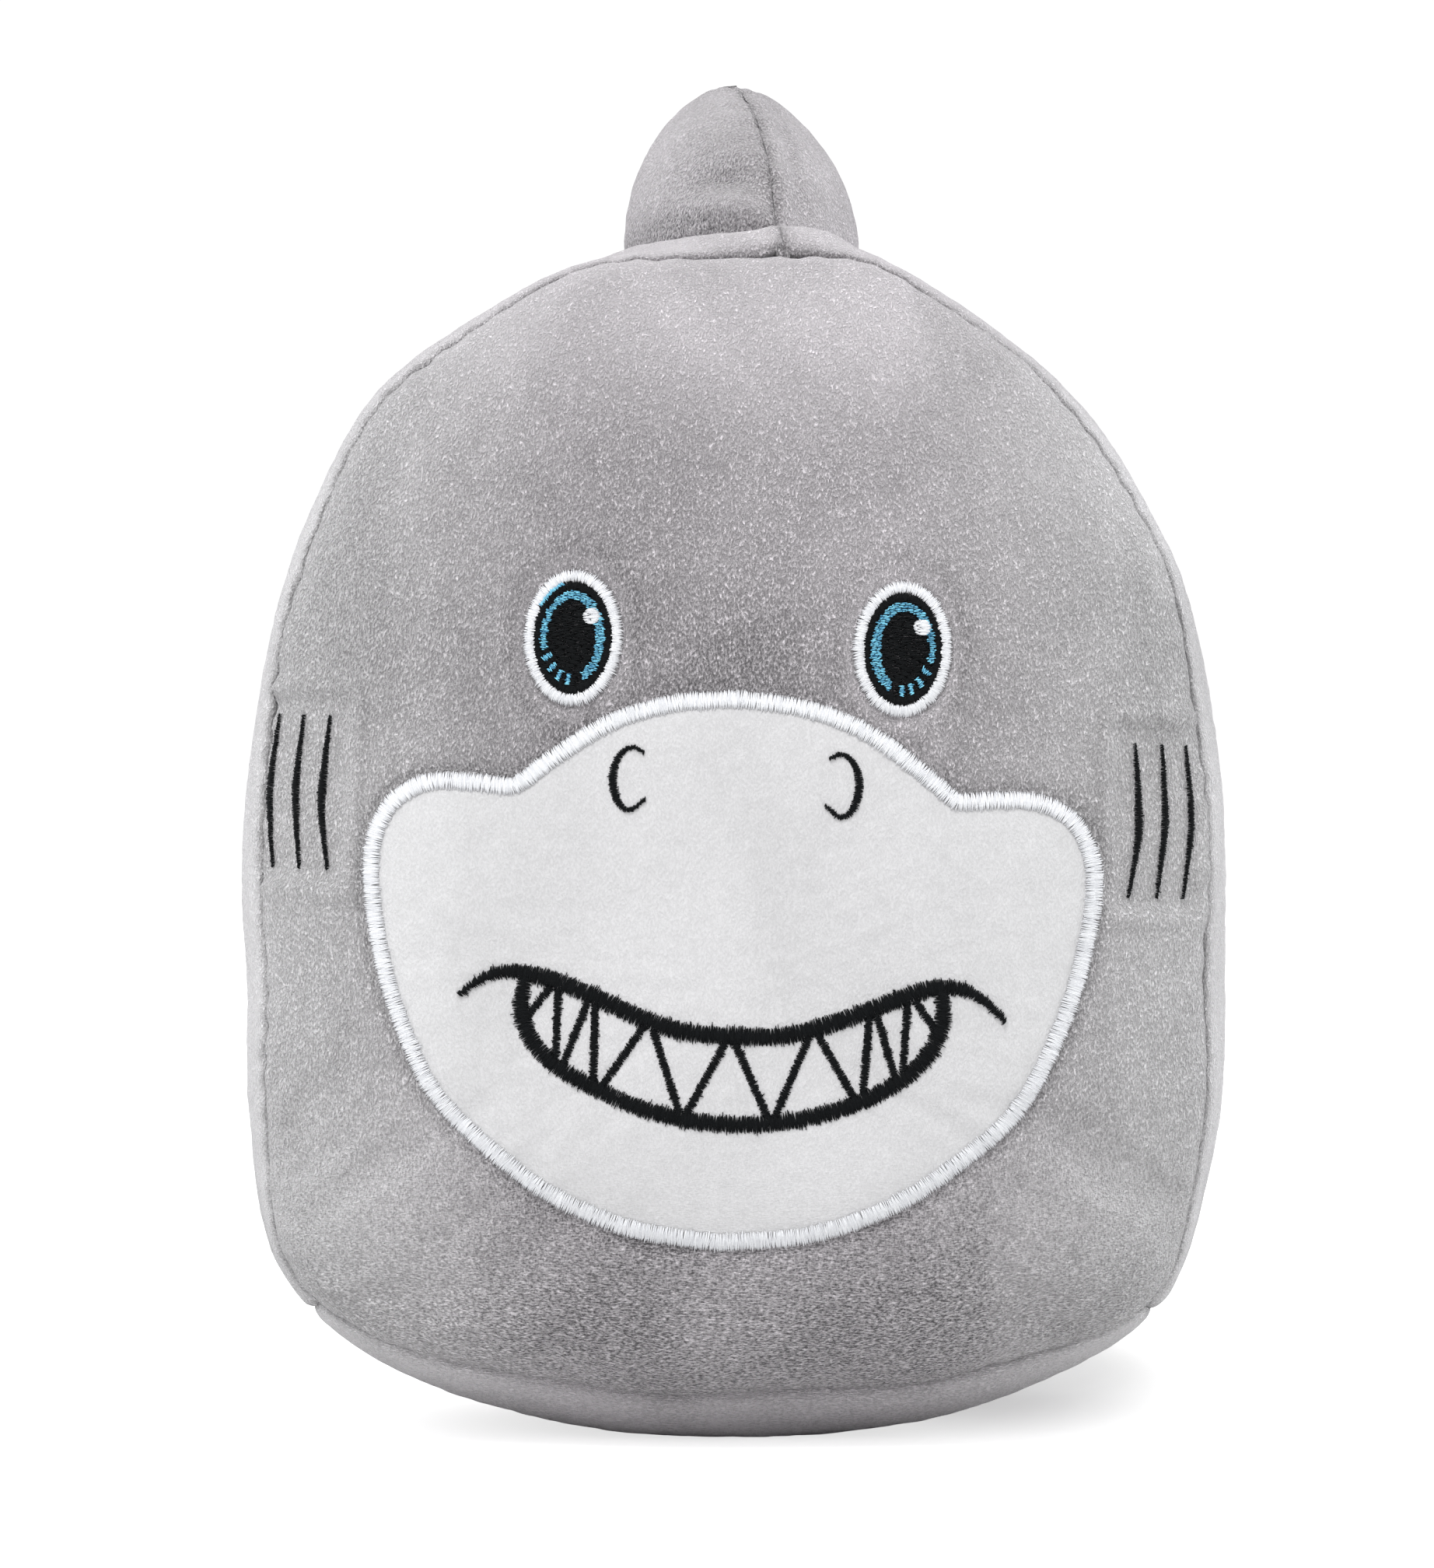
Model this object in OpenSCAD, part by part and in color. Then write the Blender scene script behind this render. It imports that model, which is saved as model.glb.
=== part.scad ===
// Plush shark head pillow: a boxed, stuffed body of two crowned panels joined by a
// gusset, an appliqued muzzle, embroidered features and a stuffed dorsal fin.
// Millimetres. The front faces -Y, +Z is up, the origin is on the resting face.

/* [Body] */
// Half width of the body at its widest
body_half_w = 110.5; // [100:0.5:120]
// Height of the widest level above the resting face
waist_z = 100; // [90:1:110]
// Height of the head's top above the widest level
dome_h = 166.5; // [155:0.5:180]
// How far the unloaded base would reach below the widest level
base_h = 101.5; // [101:0.1:103]
// Depth between the front and the back seam
gusset_depth = 90; // [70:1:110]
// Thickness of the plush and its backing
fabric_t = 2; // [1.5:0.1:3]

/* [Panels] */
// Half width of the face and back panels at the seam
panel_half_w = 103.5; // [95:0.5:106]
// Height of the top seam above the widest level
panel_dome_h = 159; // [150:1:164]
// Depth of the bottom seam below the widest level
panel_base_h = 88; // [84:1:92]
// How far the face swells forward of its seam
face_crown = 30; // [20:1:36]
// How far the back swells behind its seam
back_crown = 26; // [18:1:32]

/* [Dorsal fin] */
// Height of the fin above the head
fin_h = 38.3; // [28:0.1:42]
// Half of the fin's length along its base
fin_half_l = 40; // [32:1:42]
// Half of the fin's thickness at its base
fin_half_t = 25.5; // [18:0.5:28]
// How far the tip lies behind the middle of the base
fin_rake = 14; // [6:1:18]
// Turn of the fin's leading edge towards +X, in degrees
fin_turn = 11; // [0:1:14]
// Offset of the fin's base towards +X
fin_x = 2; // [0:0.5:3]
// How far the fin's base lies behind the gusset's middle
fin_y = 3; // [0:1:4]
// Relief under each side of the fin that lets it sway, in degrees
fin_relief = 17; // [16:0.5:20]

/* [Face art] */
// Clockwise turn of the sewn art on the face, in degrees
art_turn = 2; // [0:0.5:3]
// Height that the art turns about
art_pivot_z = 133; // [120:1:140]
// Distance between the two eyes
eye_spacing = 70; // [64:1:76]
// Height of the eyes above the resting face
eye_z = 174; // [168:1:178]
// Width of the muzzle's satin border
border_w = 3.6; // [3:0.1:4.2]
// Height of the raised thread above its cloth
thread_t = 0.7; // [0.5:0.1:1]

/* [Hidden] */

GREY = [0.66, 0.65, 0.66];
GREY_SIDE = [0.70, 0.69, 0.70];
WHITE = [0.91, 0.91, 0.92];
THREAD_WHITE = [0.86, 0.87, 0.90];
BLACK = [0.07, 0.08, 0.09];
BLUE = [0.22, 0.56, 0.74];
FIBRE = [0.93, 0.93, 0.91];

// Exponents of the outline and of the panels' swelling
DOME_POWER = 2.9;
BASE_POWER = 3.9;
SEAM_BASE_POWER = 6;
CROWN_POWER = 0.62;
GUSSET_POWER = 0.75;
// Clearance that keeps sewn neighbours apart as solids, and the same between strip ends in degrees
GAP = 0.15;
END_GAP = 0.05;
// The body's segments around, and the rings on each panel
SEGMENTS = 48;
PANEL_RINGS = 8;
// Angles of the two lower corners where the gusset meets the base panel
CORNER_RIGHT = -37.5;
CORNER_LEFT = 217.5;
half_depth = gusset_depth / 2;
// Lift of the muzzle patch off the face, its thickness, and the lift of thread sewn on it
PATCH_LIFT = 0.3;
PATCH_T = 1.1;
on_patch = PATCH_LIFT + PATCH_T + 0.1;
// The gusset's middle lies behind the origin, because the face swells further than the back
mid_y = (face_crown + on_patch + thread_t - back_crown) / 2;

// ---- outline -------------------------------------------------------------------

// 1 on the outline, 0 at its middle
function level(x, z, half_w, up, down, down_power) =
    pow(x / half_w, 2)
    + (z > waist_z ? pow((z - waist_z) / up, DOME_POWER) : pow((waist_z - z) / down, down_power));

// Distance from the middle to the outline in the direction of an angle, by Newton steps
function reach(angle, half_w, up, down, down_power, r = 200, steps = 12) =
    steps == 0 ? r :
    let (
        c = cos(angle) / half_w,
        s = abs(sin(angle)) / (sin(angle) > 0 ? up : down),
        q = sin(angle) > 0 ? DOME_POWER : down_power,
        f = pow(r * c, 2) + pow(r * s, q) - 1,
        slope = 2 * r * c * c + q * s * pow(r * s, q - 1)
    )
    reach(angle, half_w, up, down, down_power, r - f / slope, steps - 1);

function seam_reach(angle, inset = 0) =
    reach(angle, panel_half_w - inset, panel_dome_h - inset, panel_base_h - inset, SEAM_BASE_POWER);
function body_reach(angle, inset = 0) =
    reach(angle, body_half_w - inset, dome_h - inset, base_h - inset, BASE_POWER);

// The gusset swells most half-way between its seams; the base is flatter than the sides
function swell(v, angle) =
    let (p = 2 + 2 * pow(max(0, -sin(angle)), 3))
    pow(max(0, 1 - pow(abs(v), p)), GUSSET_POWER);

// A point of the gusset: v runs from -1 at the front seam to 1 at the back seam
function gusset_point(angle, v, inset = 0, rest = 0) =
    let (
        inner = seam_reach(angle, inset),
        outer = body_reach(angle, inset),
        r = inner + (outer - inner) * swell(v, angle)
    )
    [r * cos(angle), mid_y + v * (half_depth - GAP), max(rest, waist_z + r * sin(angle))];

// How far a crowned panel stands out of its seam plane at x, z
function crown(x, z, height, inset = 0) =
    height * pow(max(0, 1 - level(x, z, panel_half_w - inset, panel_dome_h - inset,
                                  panel_base_h - inset, SEAM_BASE_POWER)), CROWN_POWER);

// ---- sheets --------------------------------------------------------------------

function flat(rows) = [for (row = rows) for (p = row) p];

// Triangles of a disc of rings around point 0, all numbers raised by start
function disc_faces(rings, n, start, turned) =
    let (
        fan = [for (j = [0 : n - 1]) [0, 1 + j, 1 + (j + 1) % n]],
        bands = [for (k = [0 : rings - 2]) for (j = [0 : n - 1])
            let (a = 1 + k * n + j, b = 1 + k * n + (j + 1) % n)
            each [[a, a + n, b], [b, a + n, b + n]]]
    )
    [for (f = concat(fan, bands))
        turned ? [start + f[2], start + f[1], start + f[0]]
               : [start + f[0], start + f[1], start + f[2]]];

// A closed band between two loops of n points that start at a and b
function band_faces(a, b, n) =
    [for (j = [0 : n - 1])
        let (k = (j + 1) % n)
        each [[a + j, b + j, a + k], [a + k, b + j, b + k]]];

// A sheet with a thickness: a disc of rings on each side and a wall round the edge
module sheet(top, bottom, rings, n) {
    m = len(top);
    polyhedron(
        points = concat(top, bottom),
        faces = concat(
            disc_faces(rings, n, 0, false),
            disc_faces(rings, n, m, true),
            band_faces(1 + (rings - 1) * n, m + 1 + (rings - 1) * n, n)
        ),
        convexity = 6
    );
}

// Rings closer together towards the edge, where the panels turn most
function ring_share(k, rings) = sin(90 * k / rings);

// Disc points inside a loop of [x, z], each put at the depth that depth(x, z) gives
function disc_points(loop, centre, rings, even = false) =
    concat([centre], [for (k = [1 : rings]) for (p = loop)
        let (s = even ? k / rings : ring_share(k, rings))
        centre + s * (p - centre)]);

// ---- body panels ---------------------------------------------------------------

function seam_loop(inset) =
    [for (j = [0 : SEGMENTS - 1])
        let (a = 360 * j / SEGMENTS, r = seam_reach(a, inset))
        [r * cos(a), waist_z + r * sin(a)]];

function panel_points(side, height, inset, rings = PANEL_RINGS) =
    [for (p = disc_points(seam_loop(inset), [0, waist_z], rings))
        [p[0], mid_y + side * (half_depth + GAP + crown(p[0], p[1], height, inset)), p[1]]];

module crowned_panel(side, height) {
    outer = panel_points(side, height, 0);
    inner = panel_points(side, height - fabric_t, fabric_t);
    mirror([0, side > 0 ? 0 : 1, 0])
        sheet([for (p = outer) [p[0], side * p[1], p[2]]],
              [for (p = inner) [p[0], side * p[1], p[2]]], PANEL_RINGS, SEGMENTS);
}

// A strip of the gusset between two angles, as a shell
module gusset_strip(from, to, cols, rows = 8) {
    n = rows + 1;
    m = (cols + 1) * n;
    outer = flat([for (i = [0 : cols]) [for (j = [0 : rows])
        gusset_point(from + (to - from) * i / cols, sin(90 * (2 * j / rows - 1)))]]);
    inner = flat([for (i = [0 : cols]) [for (j = [0 : rows])
        gusset_point(from + (to - from) * i / cols, sin(90 * (2 * j / rows - 1)), fabric_t,
                     fabric_t)]]);
    cells = [for (i = [0 : cols - 1]) for (j = [0 : rows - 1]) i * n + j];
    loop = concat(
        [for (i = [0 : cols]) i * n],
        [for (j = [1 : rows]) cols * n + j],
        [for (i = [1 : cols]) (cols - i) * n + rows],
        [for (j = [1 : rows - 1]) rows - j]
    );
    walls = [for (k = [0 : len(loop) - 1])
        let (a = loop[k], b = loop[(k + 1) % len(loop)])
        each [[a, a + m, b], [b, a + m, b + m]]];
    polyhedron(
        points = concat(outer, inner),
        faces = concat(
            [for (c = cells) each [[c, c + n, c + 1], [c + 1, c + n, c + n + 1]]],
            [for (c = cells) each [[m + c, m + c + 1, m + c + n],
                                   [m + c + 1, m + c + n + 1, m + c + n]]],
            walls
        ),
        convexity = 6
    );
}

module face_panel() color(GREY) crowned_panel(-1, face_crown);
module back_panel() color(GREY) crowned_panel(1, back_crown);
module gusset_right() color(GREY_SIDE)
    gusset_strip(CORNER_RIGHT + END_GAP, 90 - END_GAP, 17);
module gusset_left() color(GREY_SIDE)
    gusset_strip(90 + END_GAP, CORNER_LEFT - END_GAP, 17);
module base_panel() color(GREY_SIDE)
    gusset_strip(CORNER_LEFT + END_GAP, 360 + CORNER_RIGHT - END_GAP, 14, 10);

// The stuffing fills everything inside the sewn shell and its embroidery backings
FILL_INSET = fabric_t + 0.4;
FILL_FRONT = fabric_t + 1.6;
// How far the stuffing's flat sides stay behind the panels' seam planes
FILL_BACKOFF = [0, 0.6, 0];
module body_filling() {
    rows = 8;
    front = panel_points(-1, face_crown - FILL_FRONT, FILL_INSET);
    back = panel_points(1, back_crown - FILL_INSET, FILL_INSET);
    front_rings = [for (k = [1 : PANEL_RINGS]) [for (j = [0 : SEGMENTS - 1])
        front[1 + (k - 1) * SEGMENTS + j] + FILL_BACKOFF]];
    side_rings = [for (i = [1 : rows - 1]) [for (j = [0 : SEGMENTS - 1])
        gusset_point(360 * j / SEGMENTS, sin(90 * (2 * i / rows - 1)), FILL_INSET, FILL_INSET)]];
    back_rings = [for (k = [0 : PANEL_RINGS - 1]) [for (j = [0 : SEGMENTS - 1])
        back[1 + (PANEL_RINGS - 1 - k) * SEGMENTS + j] - FILL_BACKOFF]];
    rings = concat(front_rings, side_rings, back_rings);
    count = len(rings);
    last = 1 + count * SEGMENTS;
    color(FIBRE) polyhedron(
        points = concat([front[0] + FILL_BACKOFF], flat(rings), [back[0] - FILL_BACKOFF]),
        faces = concat(
            [for (j = [0 : SEGMENTS - 1]) [0, 1 + (j + 1) % SEGMENTS, 1 + j]],
            [for (k = [0 : count - 2])
                each [for (f = band_faces(1 + k * SEGMENTS, 1 + (k + 1) * SEGMENTS, SEGMENTS))
                    [f[0], f[2], f[1]]]],
            [for (j = [0 : SEGMENTS - 1])
                [last, last - SEGMENTS + j, last - SEGMENTS + (j + 1) % SEGMENTS]]
        ),
        convexity = 4
    );
}

// ---- sewn art on the face ------------------------------------------------------

// The art is drawn symmetric about x = 0, then turned as one with the face
function on_face(p, lift) =
    let (
        dx = p[0],
        dz = p[1] - art_pivot_z,
        x = dx * cos(art_turn) + dz * sin(art_turn),
        z = art_pivot_z - dx * sin(art_turn) + dz * cos(art_turn)
    )
    [x, mid_y - (half_depth + GAP + crown(x, z, face_crown) + lift), z];

function behind_face(p, lift) =
    let (q = on_face(p, 0), x = q[0], z = q[2])
    [x, mid_y - (half_depth + GAP + crown(x, z, face_crown - fabric_t, fabric_t) - lift), z];

// A smooth curve through a few points, by a Catmull-Rom rule
function curve_point(a, b, c, d, t) =
    0.5 * (2 * b + (c - a) * t + (2 * a - 5 * b + 4 * c - d) * t * t
           + (3 * b - 3 * c + d - a) * t * t * t);
function curve(pts, per, closed = false) =
    let (n = len(pts), spans = closed ? n : n - 1)
    concat(
        [for (i = [0 : spans - 1]) for (k = [0 : per - 1])
            let (
                b = pts[i],
                c = pts[(i + 1) % n],
                a = closed ? pts[(i + n - 1) % n] : pts[max(i - 1, 0)],
                d = closed ? pts[(i + 2) % n] : pts[min(i + 2, n - 1)]
            )
            curve_point(a, b, c, d, k / per)],
        closed ? [] : [pts[n - 1]]
    );

function mirrored(pts) =
    [for (i = [len(pts) - 1 : -1 : 0]) [-pts[i][0], pts[i][1]]];

function across(pts, i, closed = false) =
    let (
        n = len(pts),
        a = closed ? pts[(i + n - 1) % n] : pts[max(i - 1, 0)],
        b = closed ? pts[(i + 1) % n] : pts[min(i + 1, n - 1)],
        d = (b - a) / norm(b - a)
    )
    [-d[1], d[0]];

// A raised line of satin stitches along a path, narrower at its tips
module stitched_line(path, width, tip, base_lift) {
    n = len(path);
    pts = [for (i = [0 : n - 1])
        let (
            t = i / (n - 1),
            w = width * (tip + (1 - tip) * min(1, 5 * min(t, 1 - t))) / 2,
            s = across(path, i)
        )
        each [
            on_face(path[i] + w * s, base_lift),
            on_face(path[i] + 0.6 * w * s, base_lift + thread_t),
            on_face(path[i] - 0.6 * w * s, base_lift + thread_t),
            on_face(path[i] - w * s, base_lift)
        ]];
    last = 4 * (n - 1);
    polyhedron(
        points = pts,
        faces = concat(
            [[0, 1, 2], [0, 2, 3]],
            [for (i = [0 : n - 2]) each band_faces(4 * i, 4 * i + 4, 4)],
            [[last + 2, last + 1, last], [last + 3, last + 2, last]]
        ),
        convexity = 4
    );
}

// A closed band of satin stitches between two loops
module stitched_ring(outer, inner, base_lift, height) {
    n = len(outer);
    polyhedron(
        points = concat(
            [for (p = outer) on_face(p, base_lift)],
            [for (i = [0 : n - 1]) on_face(outer[i] * 0.8 + inner[i] * 0.2, base_lift + height)],
            [for (i = [0 : n - 1]) on_face(outer[i] * 0.2 + inner[i] * 0.8, base_lift + height)],
            [for (p = inner) on_face(p, base_lift)]
        ),
        faces = concat(band_faces(0, n, n), band_faces(n, 2 * n, n), band_faces(2 * n, 3 * n, n),
                       band_faces(3 * n, 0, n)),
        convexity = 4
    );
}

// A filled patch of cloth or thread inside a loop
module patch(loop, centre, rings, base_lift, height) {
    pts = disc_points(loop, centre, rings, true);
    mirror([0, 1, 0])
        sheet([for (p = pts) let (q = on_face(p, base_lift + height)) [q[0], -q[1], q[2]]],
              [for (p = pts) let (q = on_face(p, base_lift)) [q[0], -q[1], q[2]]],
              rings, len(loop));
}

module backing(loop, centre, rings, depth, thickness) {
    pts = disc_points(loop, centre, rings, true);
    mirror([0, 1, 0])
        sheet([for (p = pts) let (q = behind_face(p, depth)) [q[0], -q[1], q[2]]],
              [for (p = pts) let (q = behind_face(p, depth + thickness)) [q[0], -q[1], q[2]]],
              rings, len(loop));
}

// Right half of the muzzle's outline, from the top of the nose to the chin
MUZZLE_HALF = [
    [0, 163.5], [14, 162], [27, 157.5], [38, 150.5], [47.5, 143.5],
    [57, 144.5], [66, 144], [74, 139.5], [78.5, 131], [79, 121], [76.5, 106],
    [72, 92], [63.5, 75.5], [50, 63], [36, 54], [19, 48], [0, 45.8]
];
MUZZLE_NOTCH = 4;
muzzle_centre = [0, 108];
// The arch of the nose and the cheek meet in a sharp notch, so each is a curve of its own
muzzle_right = let (
        nose = [for (i = [0 : MUZZLE_NOTCH]) MUZZLE_HALF[i]],
        cheek = [for (i = [MUZZLE_NOTCH : len(MUZZLE_HALF) - 1]) MUZZLE_HALF[i]],
        nose_line = curve(nose, 2),
        cheek_line = curve(cheek, 2)
    )
    concat(nose_line, [for (i = [1 : len(cheek_line) - 1]) cheek_line[i]]);
muzzle_loop = let (left = mirrored(muzzle_right))
    [for (i = [len(muzzle_right) + len(left) - 3 : -1 : 0])
        i < len(muzzle_right) ? muzzle_right[i] : left[i - len(muzzle_right) + 1]];

// Moves a loop inward by a distance, towards the art's middle
function inset_loop(loop, centre, d) =
    [for (p = loop) let (v = p - centre, r = norm(v)) centre + v * (r - d) / r];

module muzzle_patch() color(WHITE)
    patch(inset_loop(muzzle_loop, muzzle_centre, border_w + 0.1), muzzle_centre, 6, PATCH_LIFT,
          PATCH_T);
module muzzle_border() color(THREAD_WHITE)
    stitched_ring(muzzle_loop, inset_loop(muzzle_loop, muzzle_centre, border_w), PATCH_LIFT,
                  PATCH_T + 0.4);

// Widths of the embroidered lines
MOUTH_W = 3;
JAW_W = 2.8;
TOOTH_W = 1.5;
NOSTRIL_W = 1.6;
GILL_W = 1.6;

MOUTH_HALF = [[0, 91.2], [11, 91.8], [21, 94.8], [33, 99.8], [42, 103], [50, 103], [58, 96.8]];
JAW_HALF = [[0, 72.6], [12, 73.6], [24, 77], [35, 82.5], [42, 89], [45, 99.5]];
module mouth_line_upper() color(BLACK)
    stitched_line(curve(concat(mirrored(MOUTH_HALF), [for (i = [1 : 6]) MOUTH_HALF[i]]), 3), MOUTH_W,
                  0.25, on_patch);
module mouth_line_lower() color(BLACK)
    stitched_line(curve(concat(mirrored(JAW_HALF), [for (i = [1 : 5]) JAW_HALF[i]]), 3), JAW_W,
                  0.9, on_patch);

// How far a tooth's thread stops short of the lips' own thread at each end
TOOTH_END = 0.9;
// Each tooth side is a short line from the upper lip to the lower one, on the right half
TOOTH_SIDES = [
    [[1.3, 89.2], [8, 75.6]], [[16, 90.4], [10.6, 75.9]], [[19, 91.4], [26, 80.4]],
    [[29, 95.2], [28.6, 81.6]], [[31, 96], [34.9, 84.8]], [[37, 98.6], [36.8, 87]],
    [[39.5, 99.4], [42.4, 95.6]]
];
module tooth_lines() color(BLACK)
    for (side = [-1, 1], ends = TOOTH_SIDES)
        let (
            a = [side * ends[0][0], ends[0][1]],
            b = [side * ends[1][0], ends[1][1]],
            d = (b - a) / norm(b - a),
            top = a + TOOTH_END * d,
            low = b - TOOTH_END * d
        )
        stitched_line([for (t = [0 : 3]) top * (1 - t / 3) + low * t / 3], TOOTH_W, 1, on_patch);

NOSTRIL_HALF = [
    [19.6, 150.2], [22.4, 151.2], [25, 149], [26.1, 144.6], [25, 140], [22.4, 137.9], [19, 140.4]
];
module nostril(side) color(BLACK)
    stitched_line(curve([for (p = NOSTRIL_HALF) [side * p[0], p[1]]], 2), NOSTRIL_W, 0.4, on_patch);
module nostril_left() nostril(-1);
module nostril_right() nostril(1);

// Three bowed lines a side, inner to outer
GILL_XS = [86.5, 92.5, 98];
GILL_TOP_Z = 156.5;
GILL_LENGTH = 33;
GILL_BOW = 1.2;
function gill_line(side, x, steps = 8) =
    [for (k = [0 : steps])
        [side * (x + GILL_BOW * sin(180 * k / steps)), GILL_TOP_Z - GILL_LENGTH * k / steps]];
module gill_lines(side) color(BLACK)
    for (x = GILL_XS)
        stitched_line(gill_line(side, x), GILL_W, 0.5, PATCH_LIFT);
module gill_lines_left() gill_lines(-1);
module gill_lines_right() gill_lines(1);

// ---- eyes ----------------------------------------------------------------------

EYE_SEGMENTS = 28;
EYE_RING = [10.4, 14.5];
EYE_BLACK = [8.2, 11.6];
IRIS_OUT = [6.8, 9.9];
IRIS_IN = [4.9, 7.9];
IRIS_W = 1.9;
DASH_W = 1.1;
EYE_LIFT = 0.3;
EYE_BLACK_T = 0.7;
function eye_centre(side) = [side * eye_spacing / 2, eye_z];
function oval(centre, r, n = EYE_SEGMENTS) =
    [for (j = [0 : n - 1]) centre + [r[0] * cos(360 * j / n), r[1] * sin(360 * j / n)]];

module eye_ring(side) color(THREAD_WHITE)
    stitched_ring(oval(eye_centre(side), EYE_RING), oval(eye_centre(side), EYE_BLACK + [0.1, 0.1]),
                  EYE_LIFT, 0.9);
module eye_ring_left() eye_ring(-1);
module eye_ring_right() eye_ring(1);

module eye_black(side) color(BLACK)
    patch(oval(eye_centre(side), EYE_BLACK), eye_centre(side), 2, EYE_LIFT, EYE_BLACK_T);
module eye_black_left() eye_black(-1);
module eye_black_right() eye_black(1);

// The iris is an open ring, with four short dashes across its gap on the outer side
IRIS_FROM = -60;
IRIS_TO = 200;
DASH_ANGLES = [213, 233, 252, 272];
IRIS_LIFT = EYE_LIFT + EYE_BLACK_T + 0.1;
// A point of the eye at an angle from its inner side, at radii r
function eye_point(side, a, r) =
    eye_centre(side) + [-side * r[0] * cos(a), r[1] * sin(a)];
module iris(side) color(BLUE) {
    stitched_line([for (k = [0 : 18])
        eye_point(side, IRIS_FROM + (IRIS_TO - IRIS_FROM) * k / 18, (IRIS_OUT + IRIS_IN) / 2)],
        IRIS_W, 0.6, IRIS_LIFT);
    for (a = DASH_ANGLES)
        stitched_line([for (k = [0 : 2]) eye_point(side, a, IRIS_IN + (IRIS_OUT - IRIS_IN) * k / 2)],
                      DASH_W, 1, IRIS_LIFT);
}
module iris_left() iris(-1);
module iris_right() iris(1);

// The glint sits up and to +X of the pupil's middle in both eyes
GLINT_AT = [3.9, 4.7];
GLINT_R = 1.75;
module eye_glint(side) color(WHITE)
    patch(oval(eye_centre(side) + GLINT_AT, [GLINT_R, GLINT_R], 16), eye_centre(side) + GLINT_AT, 1,
          EYE_LIFT + EYE_BLACK_T + thread_t + 0.2, 0.5);
module eye_glint_left() eye_glint(-1);
module eye_glint_right() eye_glint(1);

// ---- embroidery backings inside the face ---------------------------------------

BACKING_GAP = 0.45;
BACKING_T = 0.4;
module face_backing() color(FIBRE)
    backing(curve([[0, 196], [38, 195], [60, 176], [74, 148], [77, 120], [66, 82], [45, 54], [0, 44],
                   [-45, 54], [-66, 82], [-77, 120], [-74, 148], [-60, 176], [-38, 195]], 2, true),
            [0, 118], 5, BACKING_GAP, BACKING_T);
GILL_BACKING = [
    [83.5, 121], [90, 121], [97, 121], [97, 140], [97, 159], [90, 159], [83.5, 159], [83.5, 140]
];
module gill_backing(side) color(FIBRE)
    backing(side > 0 ? GILL_BACKING : mirrored(GILL_BACKING), [side * 90, 140], 2, BACKING_GAP,
            BACKING_T);
module gill_backing_left() gill_backing(-1);
module gill_backing_right() gill_backing(1);

// ---- dorsal fin ----------------------------------------------------------------

FIN_POWER = 1.8;
FIN_SWELL = 0.62;
FIN_ARC = 18;
FIN_RINGS = 5;
// Middle of the fin's side as a length along the base and a share of its height
FIN_MIDDLE = [2, 0.42 * fin_h];
// Lift of the fin off the head, and of its hem where the fin is thinnest
FIN_LIFT = 0.4;
HEM_LIFT = 0.3;
// Half thickness at the fin's edge: of its cloth outside and inside, and of its stuffing
EDGE_OUT = 0.6;
EDGE_IN = 0.1;
EDGE_FILL = 0.3;

// The fin's side view: l runs along its base from the front to the back, h is its height
function fin_level(l, h, inset) =
    let (tall = fin_h - inset, slid = l - fin_rake * pow(max(0, h) / fin_h, 1.2))
    pow(abs(slid) / (fin_half_l - inset), FIN_POWER) + pow(max(0, h) / tall, 2);
function fin_swell(l, h, inset) =
    (fin_half_t - inset) * pow(max(0, 1 - fin_level(l, h, inset)), FIN_SWELL);
function fin_hem(l, inset) = HEM_LIFT + tan(fin_relief) * fin_swell(l, 0, inset);

// Over the seam from the front to the back, then along the hem back to the front
function fin_loop(inset) =
    let (
        tall = fin_h - inset,
        long = fin_half_l - inset,
        seam = [for (k = [1 : FIN_ARC - 1])
            let (t = 180 * k / FIN_ARC, h = tall * sin(t))
            [-long * sign(cos(t)) * pow(abs(cos(t)), 2 / FIN_POWER) + fin_rake * pow(h / fin_h, 1.2), h]],
        front = seam[0],
        back = seam[FIN_ARC - 2],
        hem = [for (k = [1 : 9])
            let (l = back[0] + (front[0] - back[0]) * k / 10)
            [l, fin_hem(l, inset)]]
    )
    concat(seam, hem);

function head_top(y) =
    let (v = min(1, abs(y - mid_y) / half_depth))
    waist_z + panel_dome_h + (dome_h - panel_dome_h) * swell(v, 90);

// Puts a fin point in place: w is its distance from the fin's middle plane
function fin_point(l, h, w) =
    let (
        y = mid_y + fin_y + l * cos(fin_turn) + w * sin(fin_turn),
        x = fin_x - l * sin(fin_turn) + w * cos(fin_turn)
    )
    [x, y, head_top(mid_y + fin_y + l * cos(fin_turn)) + FIN_LIFT + h];

function fin_points(side, inset, seam_w) =
    [for (p = disc_points(fin_loop(inset), FIN_MIDDLE, FIN_RINGS))
        fin_point(p[0], p[1], side * max(seam_w, fin_swell(p[0], p[1], inset)))];

module fin_panel(side) color(GREY) {
    outer = fin_points(side, 0, EDGE_OUT);
    inner = fin_points(side, fabric_t, EDGE_IN);
    sheet(side > 0 ? inner : outer, side > 0 ? outer : inner, FIN_RINGS, FIN_ARC + 8);
}
module fin_panel_left() fin_panel(-1);
module fin_panel_right() fin_panel(1);

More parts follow.
